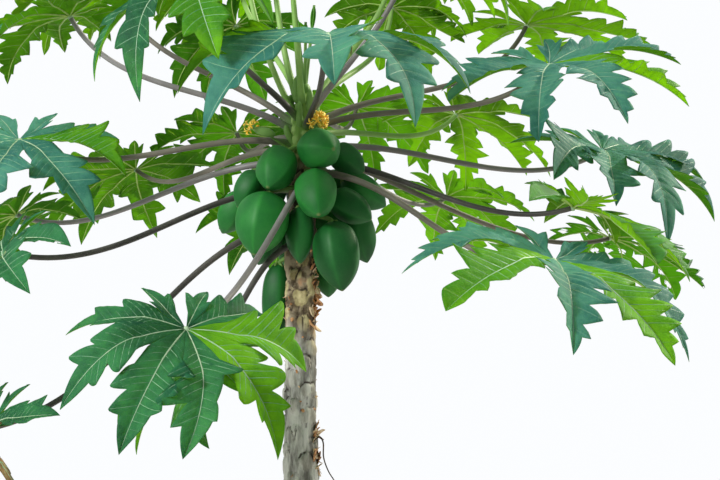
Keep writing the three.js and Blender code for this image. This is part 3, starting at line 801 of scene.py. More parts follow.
def grow_leaf(node, row, finishes, slot):
    azimuth, reach, height, foot_azimuth, foot, radius, turn, nose, roll, droop = row
    name = node.removeprefix("leaf_")
    leaf = {
        "hub": polar(azimuth, reach * MM, height * MM), "radius": radius * MM, "droop": droop,
        "axes": blade_axes(azimuth + turn, nose, roll), "holes": HOLES.get(name, 0),
        "dead": DEAD_LOBES.get(name, ()), "painted_sun": PAINTED_SUN_LOBES.get(name, ()),
        "edge": BROAD_EDGE if name in BROAD_LEAVES else COMB_EDGE,
        "fall": BROAD_FALL if name in BROAD_LEAVES else COMB_FALL,
    }
    pile = Pile()
    add_blade(pile, leaf)
    add_stalk(pile, azimuth, reach * MM, height * MM, foot_azimuth, foot * MM)
    return len(pile.piece(f"{node}_dressed", finishes, slot, (node,)).data.polygons)


faces = 0
for name, *row, upper, under, stalk in LEAVES:
    finishes = [UPPER[upper], UNDER[under], *VEINED, STALKS[stalk], DEAD, PAINTED_SUN]
    faces += grow_leaf(f"leaf_{name}", row, finishes, "leaf")
for name, *row in YOUNG_LEAVES:
    faces += grow_leaf(name, row, [YOUNG_UPPER, YOUNG_UNDER, *VEINED, STALKS["green"]], "young_leaf")
print("triangles in the leaves:", faces)

# %% [markdown]
# ## Fruits
# An unripe papaya is a green, waxy pear with five blunt edges that run from stalk to tip. A lathe would
# make it round, so the ring is pulled out at five places. The profile is the solid's own, drawn as one
# smooth curve over an angle, which keeps both ends round. The rind is slightly mottled and paler at
# the edges, with fine pores and a dull wax bloom.

# %% Fruit finish
def fruit_finish(name, deep, fresh):
    f = Finish(name)
    ridge, along = f.marks()
    drift = f.clamp(f.noise(11, 4), 0.3, 0.7)
    pores = f.clamp(f.cells(420, "F1"), 0.1, 0.3, 1, 0)
    scuffs = f.clamp(f.noise(26, 6, 0.7), 0.66, 0.78)
    body = f.mix(deep, fresh, drift * 0.55 + ridge * 0.45)
    colour = f.mix(body, (0.12, 0.3, 0.07), pores * 0.16)
    colour = f.mix(colour, (0.24, 0.24, 0.09), scuffs * 0.3 + f.clamp(along, 0.975, 1.0) * 0.5)
    height = f.noise(90, 3) * 0.5 - pores * 0.3 + scuffs * 0.3
    return f.show(f.solid(
        Base_Color=colour, Roughness=0.47 + f.noise(40, 3) * 0.14 + scuffs * 0.2, Specular_IOR_Level=0.3,
        Normal=f.bump(height, 0.18, 0.0015)))


FRUIT_FINISHES = [
    fruit_finish("fruit_rind_deep", (0.003, 0.07, 0.012), (0.012, 0.15, 0.022)),
    fruit_finish("fruit_rind_fresh", (0.006, 0.115, 0.018), (0.024, 0.23, 0.03)),
]
print("fruit finishes:", len(FRUIT_FINISHES))

# %% The fruits' rows
# Each point of the profile: the share of the length from the stalk, and the share of half the width.
FRUIT_PROFILE = [(0.0, 0.0), (0.04, 0.45), (0.16, 0.84), (0.42, 1.01), (0.68, 0.87), (0.87, 0.50),
                 (0.955, 0.22), (0.985, 0.10), (1.0, 0.0)]

# Each fruit: node, azimuth, reach, height, length, width, heading, lean, tint.
FRUITS = [
    ("fruit_01", -67, 128, 1880, 128, 104, -58, 84, 1), ("fruit_02", -11, 120, 1862, 106, 78, -12, 52, 0),
    ("fruit_03", -121, 124, 1827, 138, 102, -112, 45, 1), ("fruit_04", -75, 155, 1760, 150, 106, -82, 45, 1),
    ("fruit_05", -161, 148, 1784, 108, 76, -168, 30, 0), ("fruit_06", -129, 158, 1690, 168, 134, -125, 20, 1),
    ("fruit_07", 158, 205, 1732, 126, 84, 165, 30, 1), ("fruit_08", -92, 84, 1664, 146, 74, -90, 4, 0),
    ("fruit_09", -49, 140, 1610, 180, 118, -50, 12, 0), ("fruit_10", -25, 139, 1738, 126, 84, -15, 58, 0),
    ("fruit_11", 14, 165, 1784, 136, 88, 12, 58, 1), ("fruit_12", 13, 148, 1670, 152, 92, 12, 18, 0),
    ("fruit_13", 152, 82, 1490, 210, 80, 152, 3, 0), ("fruit_14", 148, 124, 1655, 130, 88, 150, 18, 0),
    ("fruit_15", 44, 86, 1562, 110, 74, 44, 4, 0), ("fruit_16", 58, 134, 1660, 160, 102, 58, 20, 1),
    ("fruit_17", 92, 134, 1778, 145, 96, 92, 38, 0), ("fruit_18", 104, 134, 1650, 160, 102, 104, 18, 1),
    ("fruit_19", 49, 140, 1788, 138, 88, 48, 40, 1), ("fruit_20", 135, 135, 1780, 136, 86, 135, 35, 0),
]

# %% Smooth curve and swaying stem
TRUNK_SWAY, SWAY_LENGTH = 8 * MM, 1900 * MM


def eased(places, values, wanted):
    """A smooth curve through the given points, with the slope at each taken from its neighbours."""
    places, values = np.array(places), np.array(values)
    slopes = np.gradient(values, places)
    index = np.clip(np.searchsorted(places, wanted) - 1, 0, len(places) - 2)
    width = places[index + 1] - places[index]
    x = (wanted - places[index]) / width
    ahead = (x ** 3 - 2 * x ** 2 + x) * slopes[index] + (x ** 3 - x ** 2) * slopes[index + 1]
    return ((2 * x ** 3 - 3 * x ** 2 + 1) * values[index] + (3 * x ** 2 - 2 * x ** 3) * values[index + 1]
            + width * ahead)


def trunk_middle(height):
    return TRUNK_SWAY * np.sin(2 * np.pi * height / SWAY_LENGTH)


print("the stem's middle lies off the axis at 1.5 m, mm:", round(trunk_middle(1.5) / MM, 1))

# %% Grow the fruits
FRUIT_RINGS, FRUIT_AROUND, FRUIT_EDGES, FRUIT_ENDS = 32, 50, 5, 0.01
FRUIT_FULL, FRUIT_UNEVEN, NAVEL_RISE = 1.03, 0.03, 0.4
FACET_SHARE, FACET_EASE, EDGE_SHARPNESS = 0.42, 0.4, 3
FRUIT_STALK_RADIUS, FRUIT_STALK_RISE, FRUIT_STALK_SIDES, FRUIT_STALK_STEPS = 6 * MM, 25 * MM, 12, 12
FRUIT_STALK_TAPER, STALK_ABOVE, STALK_INSIDE = (1.15, 0.95), 12 * MM, 4 * MM
KNEE_SHARE, KNEE_RISE = 0.4, 6 * MM
SEPAL_OUT, SEPAL_DOWN = np.array([[3], [11], [18]]) * MM, np.array([[0], [1], [6]]) * MM
SEPAL_RADII, SEPAL_SIDES = [4 * MM, 3.5 * MM, 0.6 * MM], 6
RIND_KIND, TWIG_KIND, SCAR_KIND = range(3)


def add_rind(pile, top, axis, across, outward, length, width):
    v = np.linspace(FRUIT_ENDS, 1 - FRUIT_ENDS, FRUIT_RINGS)
    places = [math.acos(1 - 2 * along) / math.pi for along, _ in FRUIT_PROFILE]
    radius = eased(places, [share for _, share in FRUIT_PROFILE], v) * width / 2
    along, turn, facet = (1 - np.cos(math.pi * v)) / 2, turns(FRUIT_AROUND), math.pi / FRUIT_EDGES
    phase = chance.uniform(0, 2 * math.pi)
    flat = math.cos(facet) / np.cos((turn + phase) % (2 * facet) - facet)
    edge = ((flat - flat.min()) / (1 - flat.min())) ** EDGE_SHARPNESS
    uneven = 1 + FRUIT_UNEVEN * np.cos(turn + chance.uniform(0, 6))
    swell = FRUIT_FULL + FACET_SHARE * (flat - 1) * np.sin(math.pi * along)[:, None] ** FACET_EASE
    ring = np.cos(turn)[:, None] * across + np.sin(turn)[:, None] * outward
    out = (radius[:, None] * swell * uneven)[..., None] * ring
    points, triangles = closed_skin(top + axis * (along * length)[:, None, None] + out,
                                    top + axis * along[0] * length * NAVEL_RISE, top + axis * length)
    kinds = np.full(len(triangles), RIND_KIND)
    kinds[-FRUIT_AROUND:] = SCAR_KIND
    pile.add(points, triangles, kinds, closed_marks(edge, along[:, None]))


def add_fruit_stalk(pile, top, axis):
    foot = np.array([trunk_middle(top[2]), 0, top[2] + FRUIT_STALK_RISE])
    knee = foot + (top - foot) * KNEE_SHARE + [0, 0, KNEE_RISE]
    path = bezier(foot, knee, top - axis * STALK_ABOVE, top + axis * STALK_INSIDE, FRUIT_STALK_STEPS)
    radii = np.linspace(*FRUIT_STALK_TAPER, FRUIT_STALK_STEPS) * FRUIT_STALK_RADIUS
    pile.add(*tube(path, radii, FRUIT_STALK_SIDES), TWIG_KIND)


def grow_fruit(name, azimuth, reach, height, length, width, heading, lean, tint):
    axis, across = direction(heading, lean - 90), direction(heading + 90)
    outward = np.cross(axis, across)
    top = polar(azimuth, reach * MM, height * MM) - axis * length * MM / 2
    pile = Pile()
    add_rind(pile, top, axis, across, outward, length * MM, width * MM)
    add_fruit_stalk(pile, top, axis)
    for turn in turns(FRUIT_EDGES):
        out = np.cos(turn) * across + np.sin(turn) * outward
        pile.add(*tube(top + out * SEPAL_OUT + axis * SEPAL_DOWN, SEPAL_RADII, SEPAL_SIDES), TWIG_KIND)
    finishes = [FRUIT_FINISHES[tint], STALKS["green"], DEAD]
    return pile.piece(f"{name}_dressed", finishes, "fruit", (name,))


for row in FRUITS:
    grow_fruit(*row)
print("fruits:", len(FRUITS))

# %% [markdown]
# ## Trunk
# The stem is soft and pale, marked all over by the scars of fallen leaves. Higher up, where it is
# younger, each scar is a raised tan shield under a grooved arch that is darkened as painted shade.
# Lower down the shields weather away into streaky grey bark, and close under the crown they are still
# green knobs. All of it is real relief in a fine grid, so that it also shows in the outline, and the
# finish adds colour, grain and painted shade.

# %% Stem, flare and tip
TRUNK_HEIGHT, FOOT_RADIUS, NECK_HEIGHT = 2045 * MM, 60 * MM, 1925 * MM
TAPER_POWER, TIP_BLUNTNESS = 0.75, 0.92
FLARE_RADIUS, FLARE_HEIGHT, FLARE_BUTTRESSES, BUTTRESS_CREST = 24 * MM, 75 * MM, 5, 0.25


def trunk_radius(height, angle):
    body = FOOT_RADIUS + (NECK_RADIUS - FOOT_RADIUS) * np.minimum(height / NECK_HEIGHT, 1) ** TAPER_POWER
    crest = 1 + BUTTRESS_CREST * np.cos(FLARE_BUTTRESSES * angle)
    flare = FLARE_RADIUS * np.exp(-height / FLARE_HEIGHT) * crest
    tip = np.maximum(height - NECK_HEIGHT, 0) / (TRUNK_HEIGHT - NECK_HEIGHT)
    return (body + flare) * np.sqrt(1 - TIP_BLUNTNESS * tip ** 2)


print("the bare stem's width at 1 m, mm:", round(2 * float(trunk_radius(1.0, 0.0)) / MM))

# %% Grain of the bark
# Each layer of relief: its strength, how many waves in one turn, and the height of one wave.
LUMPS, KNURLS, FIBRES = (3.1, 6, 70 * MM), (2.3, 15, 28 * MM), (0.8, 42, 60 * MM)
CRACK_LINES, CRACK_AREAS = (1, 16, 50 * MM), (1, 9, 45 * MM)
WARP_WIDE, WARP_FINE = (0.22, 22, 14 * MM), (0.12, 48, 7 * MM)
CRACK_WIDTH, CRACK_SPREAD, CRACK_DEPTH = 0.09, 0.45, 2.0


def grain(angle, height, strength, around, tall):
    """Smooth random relief that closes round the trunk: random numbers on a grid, blended between."""
    values = chance.uniform(-1, 1, (math.ceil(TRUNK_HEIGHT / tall) + 2, around))
    across, up = angle / (2 * np.pi) * around, height / tall
    column, row = np.floor(across).astype(int), np.floor(up).astype(int)
    u, v = across - column, up - row
    u, v = u * u * (3 - 2 * u), v * v * (3 - 2 * v)
    corner = lambda down, side: values[row + down, (column + side) % around]
    low = corner(0, 0) * (1 - u) + corner(0, 1) * u
    high = corner(1, 0) * (1 - u) + corner(1, 1) * u
    return strength * (low * (1 - v) + high * v)


def bark_grain(angle, height):
    """The relief of lumps and cracks in mm, the cracks alone, and what makes the scars uneven."""
    relief = grain(angle, height, *LUMPS) + grain(angle, height, *KNURLS)
    crack = np.exp(-(grain(angle, height, *CRACK_LINES) / CRACK_WIDTH) ** 2)
    crack = crack * np.clip(grain(angle, height, *CRACK_AREAS) + CRACK_SPREAD, 0, 1)
    relief = relief + grain(angle, height, *FIBRES) - CRACK_DEPTH * crack
    return relief, crack, grain(angle, height, *WARP_WIDE) + grain(angle, height, *WARP_FINE)


# %% Leaf scars
SCAR_SPIRAL, SCAR_DRIFT = 137.5, 7
SCAR_STEP_LOW, SCAR_STEP_HIGH, SCAR_WIDE, SCAR_HIGH = 20 * MM, 10.5 * MM, 19 * MM, 19 * MM
KNOBS_FROM, KNOB_STEP, KNOB_WIDE, KNOB_HIGH = 1870 * MM, 5.5 * MM, 12 * MM, 10 * MM
FIRST_SCAR, LAST_SCAR, OLD_BARK, YOUNG_BARK = 30 * MM, TRUNK_HEIGHT - 15 * MM, 1250 * MM, 1480 * MM
SCAR_SIZES, SCAR_STRENGTHS, SCAR_STRETCH, OLD_STRENGTH = (0.8, 1.15), (0.5, 1), (0.85, 1.2), 0.85
SCAR_SQUARENESS, SCAR_NARROWING, FACE_SHARPNESS = 2.8, 0.3, 7
ARCH_PLACE, ARCH_WIDTH, ARCH_FOOT = 1.16, 0.19, 0.3
KNOB_BULGE, FACE_BULGE, ARCH_DEPTH = 4.5, 3.6, 4.6


def scar_rows():
    """Every leaf scar from the ground up: height, turn, half width, half height, strength, is a knob."""
    place, turn = FIRST_SCAR, 0.0
    while place < LAST_SCAR:
        share, knob = place / KNOBS_FROM, place > KNOBS_FROM
        wide, high = (KNOB_WIDE, KNOB_HIGH) if knob else (SCAR_WIDE, SCAR_HIGH)
        size = chance.uniform(*SCAR_SIZES)
        young = np.clip((place - OLD_BARK) / (YOUNG_BARK - OLD_BARK), 0, 1)
        strength = chance.uniform(*SCAR_STRENGTHS) * (OLD_STRENGTH + (1 - OLD_STRENGTH) * young)
        stretch = chance.uniform(*SCAR_STRETCH)
        yield place, math.radians(turn), wide * size, high * size * stretch, strength, knob
        place += KNOB_STEP if knob else SCAR_STEP_LOW + (SCAR_STEP_HIGH - SCAR_STEP_LOW) * share
        turn += SCAR_SPIRAL + chance.normal(0, SCAR_DRIFT)


def scar_shape(x, y, warp, knob):
    """One scar's bulge in mm, its face and its arch, whose groove takes painted shade. x and y are 1 at the
    rim of its shield.
    """
    x = x / (1 - SCAR_NARROWING * np.clip(-y, 0, 1))
    far = (np.abs(x) ** SCAR_SQUARENESS + np.abs(y) ** SCAR_SQUARENESS) ** (1 / SCAR_SQUARENESS) + warp
    face = (1 - np.tanh((far - 1) * FACE_SHARPNESS)) / 2
    arch = np.exp(-((far - ARCH_PLACE) / ARCH_WIDTH) ** 2) * np.clip(y + ARCH_FOOT + 2 * warp, 0, 1)
    bulge = FACE_BULGE * face - ARCH_DEPTH * arch
    if knob:
        bulge = KNOB_BULGE * np.sqrt(np.clip(1 - far ** 2, 0, 1))
    return bulge, face, arch


# %% Grow the trunk
TRUNK_AROUND, TRUNK_ROWS, TIP_POINT, CRACK_DARK_AND_SHADE = 112, 450, 4 * MM, 0.8
QUIET_FOOT, QUIET_TIP = 20 * MM, 30 * MM


def grow_trunk():
    height, angle = np.meshgrid(np.linspace(0, TRUNK_HEIGHT, TRUNK_ROWS), turns(TRUNK_AROUND), indexing="ij")
    radius = trunk_radius(height, angle)
    relief, crack, warp = bark_grain(angle, height)
    # Dark mark: painted shade in the arches' grooves; cracks partly own dark colour, partly painted shade.
    dark, shield = crack * CRACK_DARK_AND_SHADE, np.zeros_like(height)
    for place, turn, wide, high, strength, knob in scar_rows():
        around = ((angle - turn + np.pi) % (2 * np.pi) - np.pi) * radius
        bulge, face, arch = scar_shape(around / wide, (height - place) / high, warp, knob)
        relief = relief + bulge * strength
        dark, shield = np.maximum(dark, arch * strength), np.maximum(shield, face * strength)
    quiet = np.clip(height / QUIET_FOOT, 0, 1) * np.clip((TRUNK_HEIGHT - height) / QUIET_TIP, 0, 1)
    radius = radius + relief * MM * quiet
    points = np.stack([trunk_middle(height) + radius * np.cos(angle), radius * np.sin(angle), height], -1)
    points, triangles = closed_skin(
        points, [trunk_middle(0), 0, 0], [trunk_middle(TRUNK_HEIGHT), 0, TRUNK_HEIGHT + TIP_POINT])
    pile = Pile()
    pile.add(points, triangles, 0, closed_marks(np.clip(dark, 0, 1), np.clip(shield, 0, 1)))
    return pile


# %% [markdown]
# ## Bark finish
# The layers are mixed by height above the ground. Streaky grey bark is the ground, tan shields on
# brown come in towards the top, and green shows just under the crown, where the stem is still young.
# Between and under the fruits a band of the bark is darkened as painted shade.
# Where the arches and the shields lie comes from the relief itself, carried over as two numbers on
# every point. The first darkens the arches' grooves as painted shade, and the cracks partly in their
# own dark colour and partly as painted shade.

# %% Bark
# Heights in metres between which one layer gives way to the next, and between which the painted
# shade round the fruits sets in and fades out.
TAN_IN, GREEN_IN, SHADE_IN, SHADE_OUT = (1.34, 1.47), (1.83, 1.92), (1.57, 1.66), (1.8, 1.88)
LONG_STREAKS, LONG_NICKS = 0.22, 0.3


def bark_finish():
    f = Finish("bark")
    dark, shield = f.marks()
    height = f.parts(f.place())[2]
    streaks = f.noise(26, 5, 0.62, at=f.stretched(LONG_STREAKS))
    nicks = f.clamp(f.noise(70, 3, at=f.stretched(LONG_NICKS)), 0.62, 0.7)
    young = f.clamp(height + (f.noise(7, 3) - 0.5) * 0.2, *TAN_IN)
    green = f.clamp(height + (f.noise(12, 2) - 0.5) * 0.08, *GREEN_IN)
    mottle = f.clamp(f.noise(38, 5), 0.36, 0.62)
    grey = f.mix((0.13, 0.125, 0.108), (0.63, 0.63, 0.575), f.clamp(streaks, 0.38, 0.62))
    grey = f.mix(grey, (0.44, 0.42, 0.34), shield * 0.4)
    brown = f.mix((0.1, 0.07, 0.04), (0.36, 0.29, 0.19), mottle)
    tan = f.mix((0.28, 0.22, 0.1), (0.52, 0.45, 0.24), mottle)
    rust = f.clamp(f.noise(19, 4), 0.58, 0.68)
    colour = f.mix(f.mix(brown, tan, f.clamp(shield, 0.2, 0.6)), (0.4, 0.17, 0.07), rust * 0.6)
    colour = f.mix(f.mix(grey, colour, young), (0.03, 0.021, 0.014), nicks * 0.55)
    # Painted shade in the arches' grooves and cracks; the cracks are also partly dark in their own colour.
    arch_shade_and_crack_dark = dark * (f.clamp(f.noise(44, 3), 0.36, 0.6) * 0.75 + 0.35)
    colour = f.mix(colour, (0.03, 0.02, 0.013), f.clamp(arch_shade_and_crack_dark, 0.2, 0.7) * 0.9)
    # Painted shade: a band of height between and under the fruits, darkened towards a deep brown.
    painted_shade = f.clamp(height, *SHADE_IN) * f.clamp(height, *SHADE_OUT, 1, 0)
    colour = f.mix(colour, (0.045, 0.035, 0.022), painted_shade * 0.7)
    colour = f.mix(colour, f.mix((0.16, 0.3, 0.06), (0.34, 0.5, 0.16), shield), green)
    relief = f.noise(150, 4, 0.65) * 0.5 + streaks * 0.7 - nicks * 0.6
    return f.show(f.solid(Base_Color=colour, Roughness=0.76 + f.noise(50, 2) * 0.16, Specular_IOR_Level=0.25,
                          Normal=f.bump(relief, 0.7, 0.004)))


BARK = bark_finish()
trunk = grow_trunk().piece("trunk_dressed", [BARK], "bark", ("trunk",))
print("triangles in the trunk:", len(trunk.data.polygons))

# %% [markdown]
# ## Peeling bark
# Dry skin lifts off round the scars, most of it on the sunny side just under the fruits. Each scrap
# is a flattened strip that starts flat on the bark and curls away from it more and more, because its
# outer side has dried first. One dead stalk still hangs by a thread and dangles beside the trunk.

# %% Flakes and the hanging stalk
FLAKE_STEPS, FLAKE_SIDES, FLAKE_SINK, FLAKE_FLATNESS = 8, 6, 2 * MM, 0.1
FLAKE_CURLS, FLAKE_LIFT, FLAKE_SLANT, FLAKE_WIDTHS = (0, 70), 12, 0.5, (0.25, 0.6)
FLAKE_TAPER, FLAKE_BLUNTNESS, FLAKE_SHADES = 0.7, 4, [0, 0, 1, 1, 2]
FLAKE_GRAIN = ((120, 4), 0.15, (300, 3), 0.5, 0.0012)
FLAKE_FINISHES = [
    two_tone("flake_rust", (0.3, 0.12, 0.04), (0.62, 0.34, 0.15), 0.75, *FLAKE_GRAIN),
    two_tone("flake_pale", (0.5, 0.34, 0.18), (0.8, 0.64, 0.42), 0.75, *FLAKE_GRAIN),
    two_tone("flake_dark", (0.025, 0.016, 0.01), (0.1, 0.06, 0.03), 0.75, *FLAKE_GRAIN),
]

# Groups of flakes: how many, lowest and highest place, first and last turn, shortest and longest.
FLAKES = [(110, 0.25, 1.78, -180, 180, 6 * MM, 15 * MM), (54, 1.43, 1.61, -32, 24, 16 * MM, 40 * MM),
          (22, 1.06, 1.17, -34, 20, 14 * MM, 34 * MM), (16, 1.38, 1.62, 150, 230, 6 * MM, 15 * MM)]
HANGING_STALK = [
    (0.030, -0.026, 1.140), (0.045, -0.033, 1.150), (0.054, -0.034, 1.135), (0.055, -0.032, 1.098),
    (0.067, -0.034, 1.064), (0.085, -0.038, 1.034), (0.094, -0.040, 0.995), (0.090, -0.038, 0.950),
    (0.098, -0.036, 0.915)]
HANGING_STEPS, HANGING_FROM, HANGING_TO, HANGING_SIDES = 50, 2.3 * MM, 0.9 * MM, 8


def add_flake(pile, height, turn, length):
    out, side = direction(turn), direction(turn + 90)
    start = np.array([trunk_middle(height), 0, height])
    start = start + out * (trunk_radius(height, math.radians(turn)) - FLAKE_SINK)
    way = np.array([0, 0, chance.choice([-1.0, 1.0])]) + side * chance.normal(0, FLAKE_SLANT)
    share = np.linspace(0, 1, FLAKE_STEPS)
    curl = np.radians(chance.uniform(*FLAKE_CURLS)) * share + math.radians(FLAKE_LIFT)
    steps = np.cos(curl)[:, None] * unit(way) + np.sin(curl)[:, None] * out
    path = start + np.cumsum(steps, axis=0) * length / FLAKE_STEPS
    radii = length * chance.uniform(*FLAKE_WIDTHS) * (1 - FLAKE_TAPER * share ** FLAKE_BLUNTNESS)
    pile.add(*tube(path, radii, FLAKE_SIDES, FLAKE_FLATNESS, out), chance.choice(FLAKE_SHADES))


def add_hanging_stalk(pile):
    spots = np.arange(len(HANGING_STALK))
    wanted = np.linspace(0, spots[-1], HANGING_STEPS)
    path = np.stack([eased(spots, corner, wanted) for corner in zip(*HANGING_STALK)], -1)
    pile.add(*tube(path, np.linspace(HANGING_FROM, HANGING_TO, HANGING_STEPS), HANGING_SIDES), 2)


flakes = Pile()
for count, low, high, first, last, short, long in FLAKES:
    for _ in range(count):
        place, turn = chance.uniform(low, high), chance.uniform(first, last)
        add_flake(flakes, place, turn, chance.uniform(short, long))
add_hanging_stalk(flakes)
flakes = flakes.piece("bark_flakes", FLAKE_FINISHES, "bark")
print("triangles in the flakes:", len(flakes.data.polygons))

# %% [markdown]
# ## Growing tip
# New leaves stand folded like closed umbrellas round a soft green bud. Each is a stout pale stalk with
# a pleated tuft at its end, so a few short curved blades round one stalk read as a leaf about to open.
# Round it stand the pale stubs of stalks that have just dropped their leaves.

# %% Bud and shoots
TIP_BUD_RADIUS, BUD_BELLY, BUD_HALF, BUD_SIDES = 15 * MM, 5 * MM, 19 * MM, 20
BUD_LOW, BUD_HIGH, BUD_STEPS, BUD_BLUNTNESS = -10 * MM, 22 * MM, 10, 0.02
SHOOTS, SHOOT_RADIUS, SHOOT_TAPER, SHOOT_STEPS, ROUND_SIDES = 3, 5 * MM, (1.05, 0.7), 16, 12
SHOOT_LONG, SHOOT_SHORTER, SHOOT_SLOPE, SHOOT_FLATTER = 230, 25, 84, 3
SHOOT_LEAVE, SHOOT_ARRIVE, SHOOT_DROOP = 80 * MM, 60 * MM, 10 * MM
FOLDS_IN_TUFT, TUFT_FROM, TUFT_STEPS, TUFT_SIDES, TUFT_FLATNESS = 5, 10, 10, 6, 0.35
TUFT_REACH, TUFT_SLOPE, TUFT_LOW, TUFT_HIGH, TUFT_TURN = 20 * MM, 35, 8 * MM, 11 * MM, 20
TUFT_WIDE, TUFT_EDGE, TUFT_START = 4.5 * MM, 0.6 * MM, 0.15


def add_bud(pile, middle):
    rise = np.linspace(BUD_LOW, BUD_HIGH, BUD_STEPS)[:, None]
    radii = np.sqrt(np.clip(1 - ((rise[:, 0] - BUD_BELLY) / BUD_HALF) ** 2, BUD_BLUNTNESS, 1))
    pile.add(*tube(middle + rise * [0, 0, 1], TIP_BUD_RADIUS * radii, BUD_SIDES), 0)


def add_shoot(pile, middle, shoot):
    lean = direction(SCAR_SPIRAL * shoot, SHOOT_SLOPE - SHOOT_FLATTER * shoot)
    end = middle + lean * (SHOOT_LONG - SHOOT_SHORTER * shoot) * MM
    arrive = end - lean * SHOOT_ARRIVE - [0, 0, SHOOT_DROOP]
    path = bezier(middle, middle + lean * SHOOT_LEAVE, arrive, end, SHOOT_STEPS)
    pile.add(*tube(path, SHOOT_RADIUS * np.linspace(*SHOOT_TAPER, SHOOT_STEPS), ROUND_SIDES), 0)
    root, width = path[TUFT_FROM], TUFT_WIDE * spindle(TUFT_START, math.pi, TUFT_STEPS) + TUFT_EDGE
    for fold in range(FOLDS_IN_TUFT):
        side = direction(360 / FOLDS_IN_TUFT * fold + TUFT_TURN * shoot, TUFT_SLOPE)
        leave, arrive = lean * TUFT_REACH + side * TUFT_LOW, side * TUFT_HIGH - lean * TUFT_REACH
        tuft = bezier(root, root + leave, end + arrive, end, TUFT_STEPS)
        pile.add(*tube(tuft, width, TUFT_SIDES, TUFT_FLATNESS), 1)


# %% Stubs round the tip
STUBS, STUB_RADIUS, STUB_TAPER, STUB_STEPS = 9, 8.5 * MM, (1.3, 0.85), 10
STUB_FROM, STUB_RISE, STUB_LONG, STUB_BEND = 1905 * MM, 14 * MM, (38, 78), 20 * MM
FIRST_STUB, STUB_TURN, STUB_LEAVE, STUB_SLOPE, STUB_STEEPER = 200, 6, 20, 58, 3
ROUND_FROM, ROUND_OVER = 0.8, 0.21


def add_stub(pile, index):
    azimuth, height = FIRST_STUB + SCAR_SPIRAL * index, STUB_FROM + STUB_RISE * index
    start = polar(azimuth, NECK_RADIUS / 2, height) + [trunk_middle(height), 0, 0]
    length = chance.uniform(*STUB_LONG) * MM + NECK_RADIUS / 2
    lean = direction(azimuth + chance.normal(0, STUB_TURN), STUB_SLOPE + STUB_STEEPER * index)
    end, leave = start + lean * length, start + direction(azimuth, STUB_LEAVE) * STUB_BEND
    path = bezier(start, leave, end - [0, 0, STUB_BEND], end, STUB_STEPS)
    share = np.linspace(0, 1, STUB_STEPS)
    round_end = np.sqrt(1 - np.clip((share - ROUND_FROM) / ROUND_OVER, 0, 1) ** 2)
    pile.add(*tube(path, STUB_RADIUS * round_end * np.linspace(*STUB_TAPER, STUB_STEPS), ROUND_SIDES), 0)


tip, tip_middle = Pile(), np.array([trunk_middle(TRUNK_HEIGHT), 0, TRUNK_HEIGHT])
add_bud(tip, tip_middle)
for shoot in range(SHOOTS):
    add_shoot(tip, tip_middle, shoot)
for index in range(STUBS):
    add_stub(tip, index)
tip = tip.piece("growing_tip_dressed", [STALKS["green"], YOUNG_UPPER], "young_leaf", ("growing_tip",))
print("triangles in the growing tip:", len(tip.data.polygons))

# %% [markdown]
# ## Flowers
# The blossoms are small, waxy and yellow, on short forked stalks between the leaf feet. Buds are closed
# spindles, and open ones have five narrow petals that curl back. Each petal is a flattened tube, which
# is enough at this size and keeps every blossom closed.

# %% Blossoms, buds and a young fruit
PETAL = two_tone("petal", (0.92, 0.5, 0.02), (1.0, 0.78, 0.12), 0.5, (90, 3), 0.15, (500, 2), 0.2, 0.0006)
PETAL_WIDE, PETAL_SPAN, PETAL_FLATNESS = 3.4 * MM, (0.5, 2.9), 0.4
PETALS, PETAL_STEPS, PETAL_SIDES = 5, 8, 6
BUD_RADIUS, BUD_PLACES, BUD_SPAN = 4.2 * MM, (4 * MM, 9 * MM, 13 * MM), (0.4, 3.0)
YOUNG_FRUIT_LONG, YOUNG_FRUIT_RADIUS = 60 * MM, 13 * MM
YOUNG_FRUIT_STEPS, YOUNG_FRUIT_ENDS, YOUNG_FRUIT_FULL, YOUNG_FRUIT_TAPER = 14, 0.02, 1.1, 0.35

# A petal's four guide points: how far along the blossom's axis, and how far out from it.
PETAL_CURVE = np.array([[5, 0], [10, 3], [13, 9], [8, 14]]) * MM
CUP_PLACES, CUP_RADII = np.array([[0], [4], [7]]) * MM, np.array([2, 3, 2]) * MM


def add_blossom(pile, tip, lean, size):
    pile.add(*tube(tip + lean * CUP_PLACES * size, CUP_RADII * size, 8), 1)
    ups, wides = carried_frames(np.array([tip, tip + lean]))
    for turn in turns(PETALS):
        side = np.cos(turn) * ups[0] + np.sin(turn) * wides[0]
        guides = [tip + (lean * rise + side * out) * size for rise, out in PETAL_CURVE]
        width = PETAL_WIDE * size * spindle(*PETAL_SPAN, PETAL_STEPS)
        pile.add(*tube(bezier(*guides, PETAL_STEPS), width, PETAL_SIDES, PETAL_FLATNESS), 1)


def add_bud_on_twig(pile, tip, lean, size):
    low, high, end = BUD_PLACES
    path = bezier(tip, tip + lean * low, tip + lean * high, tip + lean * end * size, PETAL_STEPS)
    pile.add(*tube(path, BUD_RADIUS * size * spindle(*BUD_SPAN, PETAL_STEPS), 10), 1)


def add_young_fruit(pile, foot, way):
    share = np.linspace(0, 1, YOUNG_FRUIT_STEPS)
    belly = np.sqrt(np.sin(math.pi * np.clip(share, YOUNG_FRUIT_ENDS, 1 - YOUNG_FRUIT_ENDS)))
    belly = belly * (YOUNG_FRUIT_FULL - YOUNG_FRUIT_TAPER * share)
    path = foot + way * YOUNG_FRUIT_LONG * (share[:, None] - 0.5)
    pile.add(*tube(path, YOUNG_FRUIT_RADIUS * belly, 16), 0)


